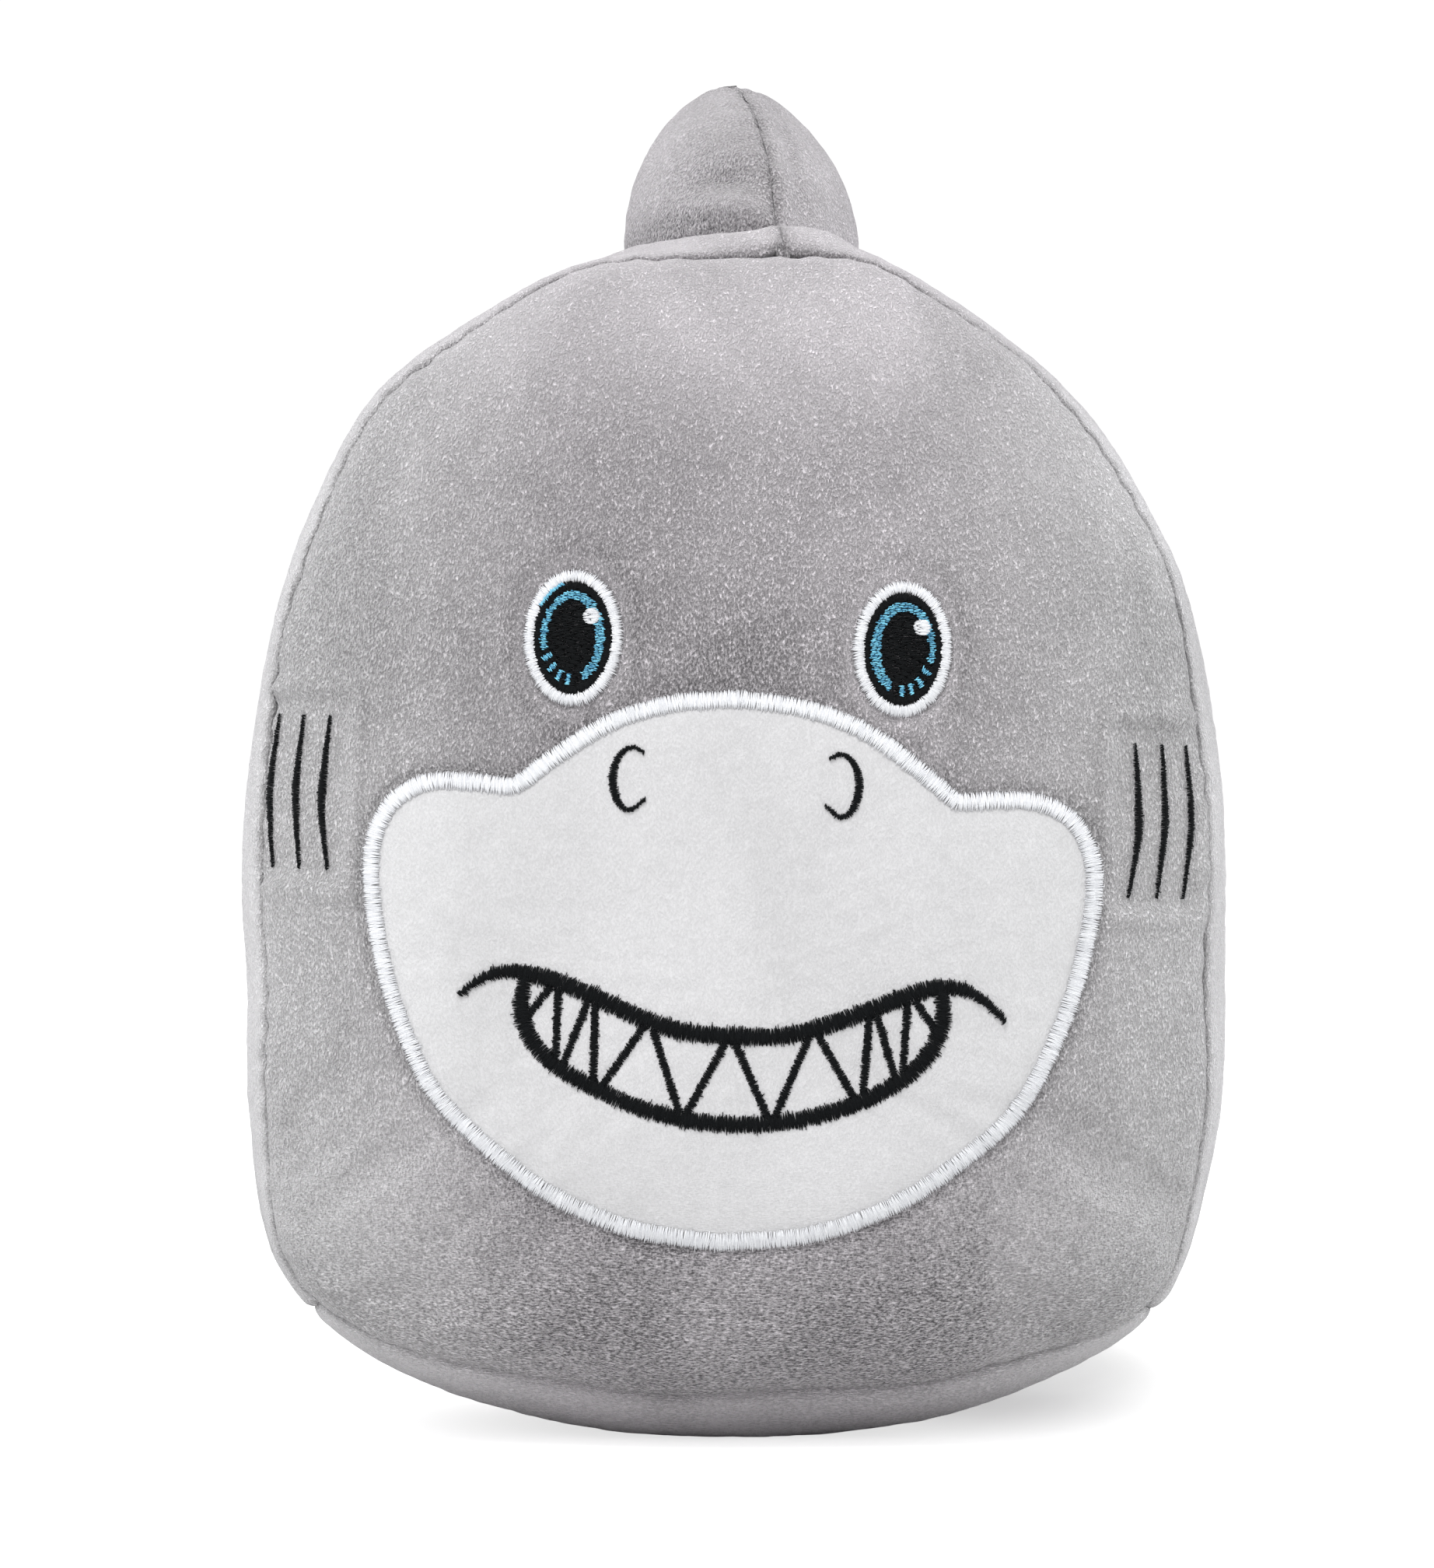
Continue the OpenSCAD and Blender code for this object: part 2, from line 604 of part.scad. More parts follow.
// The fin's stuffing ends below in a blunt ridge that the fin rocks on
module fin_filling() color(FIBRE) {
    inset = fabric_t + 0.3;
    n = FIN_ARC + 8;
    left = fin_points(-1, inset, EDGE_FILL);
    right = fin_points(1, inset, EDGE_FILL);
    loop = fin_loop(inset);
    ridge = [for (j = [0 : n - 1])
        fin_point(loop[j][0], j < FIN_ARC - 1 ? loop[j][1] : HEM_LIFT, 0)];
    m = len(left);
    edge = 1 + (FIN_RINGS - 1) * n;
    polyhedron(
        points = concat(left, right, ridge),
        faces = concat(
            disc_faces(FIN_RINGS, n, 0, false),
            disc_faces(FIN_RINGS, n, m, true),
            band_faces(edge, 2 * m, n),
            band_faces(2 * m, m + edge, n)
        ),
        convexity = 4
    );
}

face_panel();
back_panel();
gusset_left();
gusset_right();
base_panel();
body_filling();
muzzle_patch();
muzzle_border();
mouth_line_upper();
mouth_line_lower();
tooth_lines();
nostril_left();
nostril_right();
gill_lines_left();
gill_lines_right();
eye_ring_left();
eye_ring_right();
eye_black_left();
eye_black_right();
iris_left();
iris_right();
eye_glint_left();
eye_glint_right();
face_backing();
gill_backing_left();
gill_backing_right();
fin_panel_left();
fin_panel_right();
fin_filling();
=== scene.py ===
"""Looks of the plush shark head: sewn and stuffed cloth, embroidery made of thread, and a studio.

Shapes are worked out in millimetres, in the CAD's own frame, and turned into metres in one place, sewn().
"""

import math

import bpy
import numpy as np
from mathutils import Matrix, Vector, noise as solid_noise
from mathutils.bvhtree import BVHTree

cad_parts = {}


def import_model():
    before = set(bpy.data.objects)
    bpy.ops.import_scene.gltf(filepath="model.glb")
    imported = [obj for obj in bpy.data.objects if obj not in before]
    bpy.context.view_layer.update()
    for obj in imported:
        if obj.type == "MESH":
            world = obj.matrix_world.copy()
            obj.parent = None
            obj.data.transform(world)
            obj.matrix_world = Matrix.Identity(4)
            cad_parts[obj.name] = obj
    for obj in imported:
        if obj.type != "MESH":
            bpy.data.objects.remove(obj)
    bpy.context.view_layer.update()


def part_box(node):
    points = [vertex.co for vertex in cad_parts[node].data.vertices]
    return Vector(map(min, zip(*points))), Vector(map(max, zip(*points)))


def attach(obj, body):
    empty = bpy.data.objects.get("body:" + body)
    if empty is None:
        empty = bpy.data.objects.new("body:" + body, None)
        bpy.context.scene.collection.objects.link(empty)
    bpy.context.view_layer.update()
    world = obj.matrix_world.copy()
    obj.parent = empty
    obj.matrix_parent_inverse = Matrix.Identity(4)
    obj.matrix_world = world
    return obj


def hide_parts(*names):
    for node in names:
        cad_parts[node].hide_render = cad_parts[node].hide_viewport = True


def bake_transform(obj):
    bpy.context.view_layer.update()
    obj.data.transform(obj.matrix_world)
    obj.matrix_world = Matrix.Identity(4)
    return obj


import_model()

MM = 0.001

# ---- sizes, most of them read from the frame ----


def box_mm(node):
    """Lowest and highest corner of a CAD node in millimetres."""
    low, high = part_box(node)
    return np.array(low) / MM, np.array(high) / MM


FACE_LOW, FACE_HIGH = box_mm("face_panel")
BACK_HIGH = box_mm("back_panel")[1]
SIDE_LOW, SIDE_HIGH = box_mm("gusset_right")
MID_Y = (SIDE_LOW[1] + SIDE_HIGH[1]) / 2
GAP = 0.15
HALF_DEPTH = (SIDE_HIGH[1] - SIDE_LOW[1]) / 2 + GAP
WAIST_Z = 100.0
CENTRE = np.array([0, MID_Y, WAIST_Z])
BODY_HALF_W = SIDE_HIGH[0]
DOME_H = SIDE_HIGH[2] - WAIST_Z
BASE_H = 101.5
SEAM_HALF_W = FACE_HIGH[0]
SEAM_DOME_H = FACE_HIGH[2] - WAIST_Z
SEAM_BASE_H = WAIST_Z - FACE_LOW[2]
FACE_CROWN = MID_Y - HALF_DEPTH - GAP - FACE_LOW[1]
BACK_CROWN = BACK_HIGH[1] - MID_Y - HALF_DEPTH - GAP
DOME_POWER = 2.9
BASE_POWER = 3.9
SEAM_DOME_POWER = 3.35
SEAM_BASE_POWER = 6
CROWN_POWER = 0.62
GUSSET_POWER = 0.75
CORNER_RIGHT = -37.5
CORNER_LEFT = 217.5

FIN_TOP = box_mm("fin_panel_left")[1][2]
FIN_HALF_L = 40.0
FIN_HALF_T = 25.5
FIN_RAKE = 14.0
FIN_TURN = math.radians(11)
FIN_X = 2.0
FIN_Y = MID_Y + 3.0
FIN_POWER = 1.8

SIDES = (("left", -1), ("right", 1))

# ---- numbers ----


def bell(d, width):
    """1 at 0, falling off smoothly on both sides."""
    return np.exp(-((d / width) ** 2))


def bump(d, amount, at, width):
    """A smooth rise or hollow around one distance, level or angle."""
    return amount * bell(d - at, width)


def inside(d, width):
    """1 well below 0 and 0 well above it, with a smooth step between."""
    return 1 / (1 + np.exp(d / width))


def unit(v):
    """Vectors scaled to length 1."""
    return v / np.linalg.norm(v, axis=-1)[..., None]


def heading(angle):
    """Cosine and sine of an angle in degrees."""
    a = np.radians(angle)
    return np.cos(a), np.sin(a)


def polar(r, angle):
    """x and z at a distance and an angle from the middle of the waist."""
    cos, sin = heading(angle)
    return r * cos, WAIST_Z + r * sin


def between(a, b, c, d, t):
    """Catmull-Rom value at share t of the way from b to c."""
    bend, twist = 2 * a - 5 * b + 4 * c - d, 3 * b - 3 * c + d - a
    return 0.5 * (2 * b + (c - a) * t + bend * t**2 + twist * t**3)


def curve(points, per, closed=False):
    """A smooth line through a few points, with per steps from each to the next."""
    points = np.asarray(points, float)
    n = len(points)
    where = np.arange((n if closed else n - 1) * per + (0 if closed else 1)) / per
    low = np.floor(where).astype(int)
    rows = [(low + k) % n if closed else np.clip(low + k, 0, n - 1) for k in (-1, 0, 1, 2)]
    return between(*(points[r] for r in rows), (where - low)[:, None])


def along(path):
    """Length along a path at each of its points."""
    return np.concatenate([[0], np.cumsum(np.linalg.norm(np.diff(path, axis=0), axis=1))])


def even(path, pitch, closed=False):
    """The path again, with points at an even pitch."""
    path = np.vstack([path, path[:1]]) if closed else path
    far = along(path)
    count = max(2, int(round(far[-1] / pitch)))
    at = np.linspace(0, far[-1], count + 1)
    at = at[:-1] if closed else at
    return np.stack([np.interp(at, far, path[:, k]) for k in range(path.shape[1])], -1)


def across(path, closed=False):
    """Unit vectors square to a flat path, to its left."""
    d = unit(np.roll(path, -1, 0) - np.roll(path, 1, 0) if closed else np.gradient(path, axis=0))
    return np.stack([-d[:, 1], d[:, 0]], -1)


def outward(grid, wrap, centre):
    """Unit normals of a grid of points, away from a centre."""
    dv = (np.roll(grid, -1, 1) - np.roll(grid, 1, 1)) if wrap else np.gradient(grid, axis=1)
    n = np.cross(np.gradient(grid, axis=0), dv)
    n = n / np.maximum(np.linalg.norm(n, axis=-1), 1e-9)[..., None]
    return n * np.sign(np.sum(n * (grid - np.asarray(centre)), axis=-1).sum())


def row_distance(grid):
    """Length along each column of a grid, from its first row."""
    step = np.linalg.norm(np.diff(grid, axis=0), axis=-1)
    return np.vstack([np.zeros((1, grid.shape[1])), np.cumsum(step, axis=0)])


def column_distance(grid):
    """Length along each row of a grid, from its first column."""
    return row_distance(grid.transpose(1, 0, 2)).T


def ripple(phase, low, high, seed):
    """An irregular wave around a loop with between low and high crests; phase runs from 0 to 1."""
    rng = np.random.default_rng(seed)
    total = np.zeros(np.shape(phase))
    for _ in range(9):
        n = rng.integers(low, high + 1)
        total = total + rng.uniform(0.5, 1) * np.sin(2 * np.pi * (n * phase + rng.random()))
    return total / 3


# ---- surfaces of the body ----

BROW_RISES = [(4.0, 79, 6), (2.8, 100, 7)]  # amount, angle and width, as in every bump
LEAN = (2.0, 232, 14)
SHOULDER_DIP, SHOULDERS_AT, SHOULDER_WIDE = 0.2, (73, 107), 9
FRONT_DIPS = [(0.35, 101, 6), (0.25, 79, 5)]
DRAWN_SIDES = [  # side, level, height, amount, and how near the outline it stays
    (1, 52, 24, 2.2, 1), (-1, 66, 24, 1.8, 1), (-1, 98, 14, 1.4, 1), (1, 253, 7, 4.0, 1),
    (1, 244, 7, 5.0, 1), (1, 208, 13, 2.2, 1), (-1, 180, 26, 2.1, 14),
]


def brow_rise(angle):
    """The seam over the face runs flat across the brow and then turns down sharply."""
    return sum(bump(angle, *rise) for rise in BROW_RISES)


def reach(angle, half_w, up, down, up_power, down_power):
    """Distance from the waist's middle to an outline at an angle, by Newton's method."""
    cos, sin = heading(angle)
    c = cos / half_w
    s = np.abs(sin) / np.where(sin > 0, up, down)
    q = np.where(sin > 0, up_power, down_power)
    r = np.full(np.shape(cos), 200.0)
    for _ in range(14):
        f = (r * c) ** 2 + (r * s) ** q - 1
        r = r - f / (2 * r * c * c + q * s * (r * s) ** (q - 1))
    return r


def seam_reach(angle):
    """Distance to the seam around the face or back."""
    plain = reach(angle, SEAM_HALF_W, SEAM_DOME_H, SEAM_BASE_H, SEAM_DOME_POWER, SEAM_BASE_POWER)
    return plain + brow_rise(angle)


def body_reach(angle):
    """Distance to the body's widest outline."""
    return reach(angle, BODY_HALF_W, DOME_H, BASE_H, DOME_POWER, BASE_POWER)


def settled(x, z):
    """The stuffed body sits a little askew: its brow leans to -X, and its sides are drawn in here and there."""
    moved = x - bump(z, *LEAN)
    for side, level, tall, amount, power in DRAWN_SIDES:
        moved = moved - side * amount * np.clip(side * x / BODY_HALF_W, 0, 1) ** power * bell(z - level, tall)
    return moved


def seam_level(x, z):
    """0 at the middle of a panel and 1 on its seam."""
    angle = np.degrees(np.arctan2(z - WAIST_Z, x))
    share = 1 - brow_rise(angle) / seam_reach(angle)
    x, h = x * share, (z - WAIST_Z) * share
    up = (np.abs(h) / SEAM_DOME_H) ** SEAM_DOME_POWER
    down = (np.abs(h) / SEAM_BASE_H) ** SEAM_BASE_POWER
    return (x / SEAM_HALF_W) ** 2 + np.where(h > 0, up, down)


def swell(v, angle):
    """How far the gusset bulges out at v from -1 to 1; less at the shoulders by the fin."""
    p = 2 + 2 * np.maximum(0, -heading(angle)[1]) ** 3
    shoulders = 1 - SHOULDER_DIP * sum(bell(angle - at, SHOULDER_WIDE) for at in SHOULDERS_AT)
    front = np.clip(-1.6 * v, 0, 1)
    shoulders = shoulders * (1 - front * sum(bump(angle, *dip) for dip in FRONT_DIPS))
    return shoulders * np.maximum(0, 1 - np.abs(v) ** p) ** GUSSET_POWER


def panel(t, angle, side):
    """Points of the face (side -1) or the back (side 1); t is 0 in the middle and 1 on the seam."""
    x, z = polar(np.sin(np.pi / 2 * t) * seam_reach(angle), angle)
    crown = FACE_CROWN if side < 0 else BACK_CROWN
    out = HALF_DEPTH + crown * np.maximum(0, 1 - seam_level(x, z)) ** CROWN_POWER
    return np.stack([settled(x, z), MID_Y + side * out, z], -1)


def gusset_reach(v, angle):
    """Distance to the gusset, at v from -1 on the front seam to 1 on the back seam."""
    inner = seam_reach(angle)
    return inner + (body_reach(angle) - inner) * swell(v, angle)


def gusset(t, angle):
    """Points of the gusset; t is 0 on the front seam and 1 on the back seam."""
    v = np.sin(np.pi * (t - 0.5))
    x, z = polar(gusset_reach(v, angle), angle)
    return np.stack([settled(x, z), MID_Y + v * HALF_DEPTH, np.maximum(0, z)], -1)


# ---- meshes ----


def grid_faces(rows, cols, wrap, start=0):
    """Quads between the rows of a grid of points."""
    k = np.arange(rows - 1)[:, None]
    j = np.arange(cols if wrap else cols - 1)[None, :]
    a, b = k * cols + j, k * cols + (j + 1) % cols
    return np.stack([a, a + cols, b + cols, b], -1).reshape(-1, 4) + start


def disc_points(grid):
    """The points of rings whose first one is a single point."""
    return np.vstack([grid[0][:1], grid[1:].reshape(-1, 3)])


def disc_faces(rows, cols):
    """A fan around point 0 and quads between the rings outside it."""
    fan = [[0, 1 + j, 1 + (j + 1) % cols] for j in range(cols)]
    return [*fan, *grid_faces(rows - 1, cols, True, 1)]


def ball(grid):
    """Points and faces of a closed shape: rings whose first and last are single points."""
    cols = grid.shape[1]
    points = np.vstack([grid[0][:1], grid[1:-1].reshape(-1, 3), grid[-1][:1]])
    last = len(points) - 1
    end = last - cols
    fan = [[last, end + (j + 1) % cols, end + j] for j in range(cols)]
    return points, [*disc_faces(len(grid) - 1, cols), *fan]


def in_scene(name, data):
    """A new object in the scene."""
    made = bpy.data.objects.new(name, data)
    bpy.context.scene.collection.objects.link(made)
    return made


def sewn(name, points, faces, material, centre=None, thickness=0):
    """An object from points in millimetres. With a centre its faces look away from it."""
    mesh = bpy.data.meshes.new(name)
    lists = [f.tolist() if hasattr(f, "tolist") else f for f in faces]
    mesh.from_pydata((np.asarray(points, float).reshape(-1, 3) * MM).tolist(), [], lists)
    mesh.validate()
    count = len(mesh.polygons)
    mesh.polygons.foreach_set("use_smooth", np.ones(count, bool))
    if centre is not None:
        n, c = np.zeros(count * 3), np.zeros(count * 3)
        mesh.polygons.foreach_get("normal", n)
        mesh.polygons.foreach_get("center", c)
        if np.dot(n, c - np.tile(np.asarray(centre) * MM, count)) < 0:
            mesh.flip_normals()
    mesh.materials.append(material)
    mesh.update()
    made = in_scene(name, mesh)
    if thickness:
        shell = made.modifiers.new("Thickness", "SOLIDIFY")
        shell.thickness = thickness * MM
        shell.offset = -1
    return made


def stored(piece, name, values):
    """Keeps a number at each point of a piece for its material."""
    kept = piece.data.attributes.new(name, "FLOAT", "POINT")
    kept.data.foreach_set("value", values.ravel())


def store_pile_and_light(piece, nap_and_painted_light):
    """Stores a value at each point for its material, holding how the pile lies together with painted light and
    shade: 0 is darkest, and 1 or more is lighter.
    """
    stored(piece, "nap_and_painted_light", np.maximum(nap_and_painted_light, 0))
    return piece


def place(piece, nodes, body="body"):
    """Hides the CAD parts that a piece stands in for, and attaches it to the body it moves with, if one is
    given.
    """
    if body:
        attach(piece, body)
    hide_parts(*nodes)


# ---- materials ----


def add(tree, kind, inputs=(), **settings):
    """A shader node with its settings, and its inputs linked or set."""
    node = tree.nodes.new("ShaderNode" + kind)
    for key, value in settings.items():
        setattr(node, key, value)
    for key, value in dict(inputs).items():
        if isinstance(value, bpy.types.NodeSocket):
            tree.links.new(value, node.inputs[key])
        else:
            node.inputs[key].default_value = value
    return node


def shader(name, **sockets):
    """A new material, its node tree and its Principled shader with constant values set."""
    made = bpy.data.materials.new(name)
    made.use_nodes = True
    principled = made.node_tree.nodes["Principled BSDF"]
    for key, value in sockets.items():
        principled.inputs[key.replace("_", " ")].default_value = value
    return made, made.node_tree, principled


def place_coords(tree, scale=(1, 1, 1), tilt=0.0):
    """Object coordinates, stretched and leaned over."""
    coords = add(tree, "TexCoord").outputs["Object"]
    lean = {"Vector": coords, "Scale": scale, "Rotation": (0, math.radians(tilt), 0)}
    return add(tree, "Mapping", lean).outputs["Vector"]


def mapped(tree, value, low, high, to_low=0.0, to_high=1.0, **settings):
    """A value's range from low to high, moved to another range."""
    ends = {"Value": value, "From Min": low, "From Max": high, "To Min": to_low, "To Max": to_high}
    return add(tree, "MapRange", ends, **settings).outputs["Result"]


def noise(tree, vector, scale, detail=2.0, rough=0.55, low=0.35, high=0.65, warp=0.0):
    """Noise between 0 and 1, with its contrast raised."""
    made = add(tree, "TexNoise", {"Vector": vector, "Scale": scale, "Detail": detail, "Roughness": rough,
                                  "Distortion": warp})
    return mapped(tree, made.outputs["Fac"], low, high)


def maths(tree, operation, a, b=0.0):
    """The result of one sum."""
    return add(tree, "Math", {0: a, 1: b}, operation=operation).outputs[0]


def weighed(tree, parts):
    """The sum of (value, weight) pairs."""
    total = 0.0
    for value, weight in parts:
        total = maths(tree, "ADD", maths(tree, "MULTIPLY", value, weight), total)
    return total


def mixed(tree, factor, first, second, **settings):
    """Two colours mixed, each given as numbers or by a socket."""
    ends = [v if isinstance(v, bpy.types.NodeSocket) else (*v, 1) for v in (first, second)]
    made = add(tree, "Mix", {"Factor": factor}, data_type="RGBA", clamp_factor=True, **settings)
    for socket, end in zip((made.inputs[6], made.inputs[7]), ends):
        if isinstance(end, tuple):
            socket.default_value = end
        else:
            tree.links.new(end, socket)
    return made.outputs[2]


def finished(made, tree, principled, colour, height, strength, distance):
    """A material with its colour and bump linked to its shader."""
    tree.links.new(colour, principled.inputs["Base Color"])
    bump = add(tree, "Bump", {"Strength": strength, "Distance": distance, "Height": height})
    tree.links.new(bump.outputs["Normal"], principled.inputs["Normal"])
    return made


RIBBED_BELOW, RIBBED_ABOVE = 0.03, 0.085
BLUSH_IN, BLUSH_OUT = 0.035, 0.09


def plush(name, dark, light, blush, ground, fleck, glint, tuft, patch, nap_and_painted_light, pile, sheen):
    """Short-pile plush: fibres, painted glints where fibre tips would catch the light, tufts, broad patches,
    and a stored value that holds how the pile lies together with painted light and shade.

    Low down the pile lies in short ribs, and the middle is tinted with the blush colour.
    """
    parts = shader(name, Roughness=0.92, Sheen_Weight=sheen, Sheen_Roughness=0.38,
                   Sheen_Tint=(1, 0.99, 1, 1), Specular_IOR_Level=0.15)
    tree = parts[1]
    leaning = place_coords(tree, (1.1, 1.1, 0.6), 24)
    fibres = noise(tree, leaning, 2150, 2, 0.6, 0.36, 0.64)
    # painted glints: sparse bright specks where fibre tips would catch the light
    tip_glints = noise(tree, leaning, 2900, 2, 0.5, 0.58, 0.68)
    tufts = noise(tree, leaning, 620, 2, 0.5)
    patches = noise(tree, leaning, 24, 3, 0.55, 0.38, 0.62, 0.4)
    # the stored value: how the pile lies, with painted light and shade mixed in
    pile_and_painted_light = add(tree, "Attribute", attribute_name="nap_and_painted_light").outputs["Fac"]
    spot = add(tree, "SeparateXYZ", {0: place_coords(tree)})
    open_pile = mapped(tree, pile_and_painted_light, 0, 1, 1.6, 0.8)
    low = mapped(tree, spot.outputs["Z"], RIBBED_BELOW, RIBBED_ABOVE, 0.9, 0.0)
    ribs = noise(tree, place_coords(tree, (0.5, 1.1, 1.5), -8), 2050, 2, 0.6, 0.36, 0.64)
    fibres = add(tree, "Mix", {0: low, 2: fibres, 3: ribs}, data_type="FLOAT").outputs[0]
    depth = maths(tree, "MULTIPLY", open_pile, maths(tree, "ADD", 1.0, low))
    grain = maths(tree, "MULTIPLY", maths(tree, "SUBTRACT", fibres, 0.5), depth)
    shades = [(grain, fleck), (tip_glints, glint), (tufts, tuft), (patches, patch), (pile_and_painted_light, nap_and_painted_light)]
    cloth = mixed(tree, maths(tree, "ADD", weighed(tree, shades), ground), dark, light)
    side = maths(tree, "ABSOLUTE", spot.outputs["X"])
    middle = mapped(tree, side, BLUSH_IN, BLUSH_OUT, 0.9, 0.1)
    tinted = mixed(tree, middle, cloth, blush, blend_type="MULTIPLY")
    height = weighed(tree, [(fibres, 0.75), (tufts, 0.25)])
    return finished(*parts, tinted, height, pile, 0.0009)


def thread(name, dark, light, rough, sheen=0.2, gloss=0.45):
    """Twisted embroidery thread; each strand has its own shade."""
    parts = shader(name, Roughness=rough, Sheen_Weight=sheen, Sheen_Roughness=0.4, Specular_IOR_Level=gloss)
    tree = parts[1]
    shade = add(tree, "Attribute", attribute_name="shade").outputs["Fac"]
    twist = noise(tree, place_coords(tree), 2600, 2, 0.5)
    colour = mixed(tree, weighed(tree, [(shade, 0.65), (twist, 0.35)]), dark, light)
    return finished(*parts, colour, twist, 0.25, 0.0001)


def fleece(name, dark, light, scale):
    """Loose fibre, or the thin felt behind embroidery."""
    parts = shader(name, Roughness=0.95, Sheen_Weight=0.3, Specular_IOR_Level=0.1)
    clumps = noise(parts[1], place_coords(parts[1]), scale, 4, 0.7, 0.3, 0.7, 0.8)
    return finished(*parts, mixed(parts[1], clumps, dark, light), clumps, 0.6, 0.0015)


GREY = plush("plush_grey", (0.095, 0.094, 0.096), (0.830, 0.822, 0.836), (0.985, 0.94, 0.972),
             ground=0.24, fleck=0.36, glint=0.16, tuft=0.06, patch=0.16, nap_and_painted_light=0.28, pile=1.0, sheen=0.42)
WHITE = plush("plush_white", (0.47, 0.47, 0.475), (0.70, 0.70, 0.71), (1.0, 0.995, 1.0),
              ground=0.18, fleck=0.24, glint=0.12, tuft=0.08, patch=0.20, nap_and_painted_light=0.30, pile=0.3, sheen=0.15)
THREADS = {
    "thread_white": thread("thread_white", (0.62, 0.63, 0.66), (0.82, 0.83, 0.85), 0.5),
    "thread_black": thread("thread_black", (0.0015, 0.002, 0.0025), (0.006, 0.007, 0.008), 0.75, 0.0, 0.12),
    "thread_blue": thread("thread_blue", (0.02, 0.16, 0.33), (0.29, 0.80, 1.0), 0.5, 0.05, 0.3),
}
BACKING = fleece("backing", (0.70, 0.70, 0.68), (0.86, 0.86, 0.84), 900)
FIBRE = fleece("fibre", (0.72, 0.72, 0.70), (0.92, 0.92, 0.90), 120)

# ---- stuffing the body: a cloth simulation ----

SIM_COLS = 208
FACE_ROWS = 26
SIDE_ROWS = 22
BACK_ROWS = 24
FRONT_SEAM = FACE_ROWS
BACK_SEAM = FACE_ROWS + SIDE_ROWS
LAST_ROW = BACK_SEAM + BACK_ROWS
SPARE_CLOTH = 0.045
WRINKLE_CAP = 3.5
CENTRE_ROWS = 9


def body_rings():
    """The whole body as rings of points, from the middle of the face to the middle of the back."""
    angle = np.arange(SIM_COLS) * 360 / SIM_COLS
    rings = [panel(np.full(SIM_COLS, k / FACE_ROWS), angle, -1) for k in range(FACE_ROWS)]
    rings += [gusset(np.full(SIM_COLS, k / SIDE_ROWS), angle) for k in range(SIDE_ROWS)]
    rings += [panel(np.full(SIM_COLS, 1 - k / BACK_ROWS), angle, 1) for k in range(BACK_ROWS + 1)]
    return np.array(rings)


def smooth_rings(field, times):
    """A field on the body's rings, averaged with its neighbours again and again."""
    for _ in range(times):
        around = (np.roll(field, 1, 1) + np.roll(field, -1, 1)) / 2
        padded = np.concatenate([field[:1], field, field[-1:]])
        beside = (padded[:-2] + padded[2:]) / 2
        field = 0.4 * field + 0.3 * around + 0.3 * beside
    return field


def stuff_body(rings):
    """How cloth that is cut a little too wide wrinkles when the sewn body is stuffed: moves in mm."""
    points, faces = ball(rings)
    count = len(rings) - 2
    rng = np.random.default_rng(11)
    start = points + rng.normal(0, 0.12, points.shape)
    body = sewn("sim_body", start, faces, FIBRE, CENTRE)

    row = np.concatenate([[0], np.repeat(np.arange(1, count + 1), SIM_COLS), [LAST_ROW]])
    to_seam = np.minimum(np.abs(row - FRONT_SEAM), np.abs(row - BACK_SEAM))
    spare = 1 + SPARE_CLOTH * bell(to_seam, 7.0)
    waist = np.array([0, 0, WAIST_Z])
    wide = waist + (start - waist) * np.stack([spare, np.ones(len(row)), spare], -1)
    body.shape_key_add(name="stuffed")
    cut = body.shape_key_add(name="cut")
    cut.data.foreach_set("co", (wide * MM).ravel())
    pins = body.vertex_groups.new(name="seams")
    held = (to_seam == 0) | (points[:, 2] < 0.5)
    pins.add(np.flatnonzero(held).tolist(), 1.0, "REPLACE")

    made = body.modifiers.new("Cloth", "CLOTH").settings
    made.quality = 6
    made.mass = 0.2
    made.tension_stiffness = made.compression_stiffness = 25
    made.shear_stiffness = 8
    made.bending_stiffness = 0.15
    made.use_pressure = True
    made.uniform_pressure_force = 4
    made.effector_weights.gravity = 0
    made.vertex_group_mass = "seams"
    made.rest_shape_key = cut
    for step in range(1, 21):
        bpy.context.scene.frame_set(step)
    after = body.evaluated_get(bpy.context.evaluated_depsgraph_get())
    moved = np.zeros(len(points) * 3)
    after.data.vertices.foreach_get("co", moved)
    moved = moved.reshape(-1, 3) / MM - points
    bpy.context.scene.frame_set(1)
    bpy.data.objects.remove(body)
    first, last = (np.repeat(end, SIM_COLS, 0)[None] for end in (moved[:1], moved[-1:]))
    return np.concatenate([first, moved[1:-1].reshape(count, SIM_COLS, 3), last])


def wrinkles(rings):
    """The stuffed body's wrinkles and hollows, without the even swelling that its outline already has."""
    moved = stuff_body(rings)
    fine = smooth_rings(moved, 1) - smooth_rings(moved, 90)
    size = np.linalg.norm(fine, axis=-1)[..., None]
    fine = fine * WRINKLE_CAP / np.maximum(WRINKLE_CAP, size)
    row = np.arange(len(fine))
    share = np.clip(np.minimum(row, LAST_ROW - row) / CENTRE_ROWS, 0, 1)[:, None, None]
    return fine * share + fine.mean(1, keepdims=True) * (1 - share) * share


RINGS = body_rings()
WRINKLES = wrinkles(RINGS)


def wrinkle(row, angle):
    """The wrinkles between the rings, at row numbers and angles that have one shape."""
    row, angle = np.broadcast_arrays(row, angle)
    col = angle / 360 * SIM_COLS
    low, j = np.floor(row).astype(int), np.floor(col).astype(int)

    def ring(k):
        k = np.clip(k, 0, LAST_ROW)
        return between(*(WRINKLES[k, (j + o) % SIM_COLS] for o in (-1, 0, 1, 2)), (col - j)[..., None])

    return between(*(ring(low + o) for o in (-1, 0, 1, 2)), (row - low)[..., None])


# ---- sewn art, in its own flat drawing ----

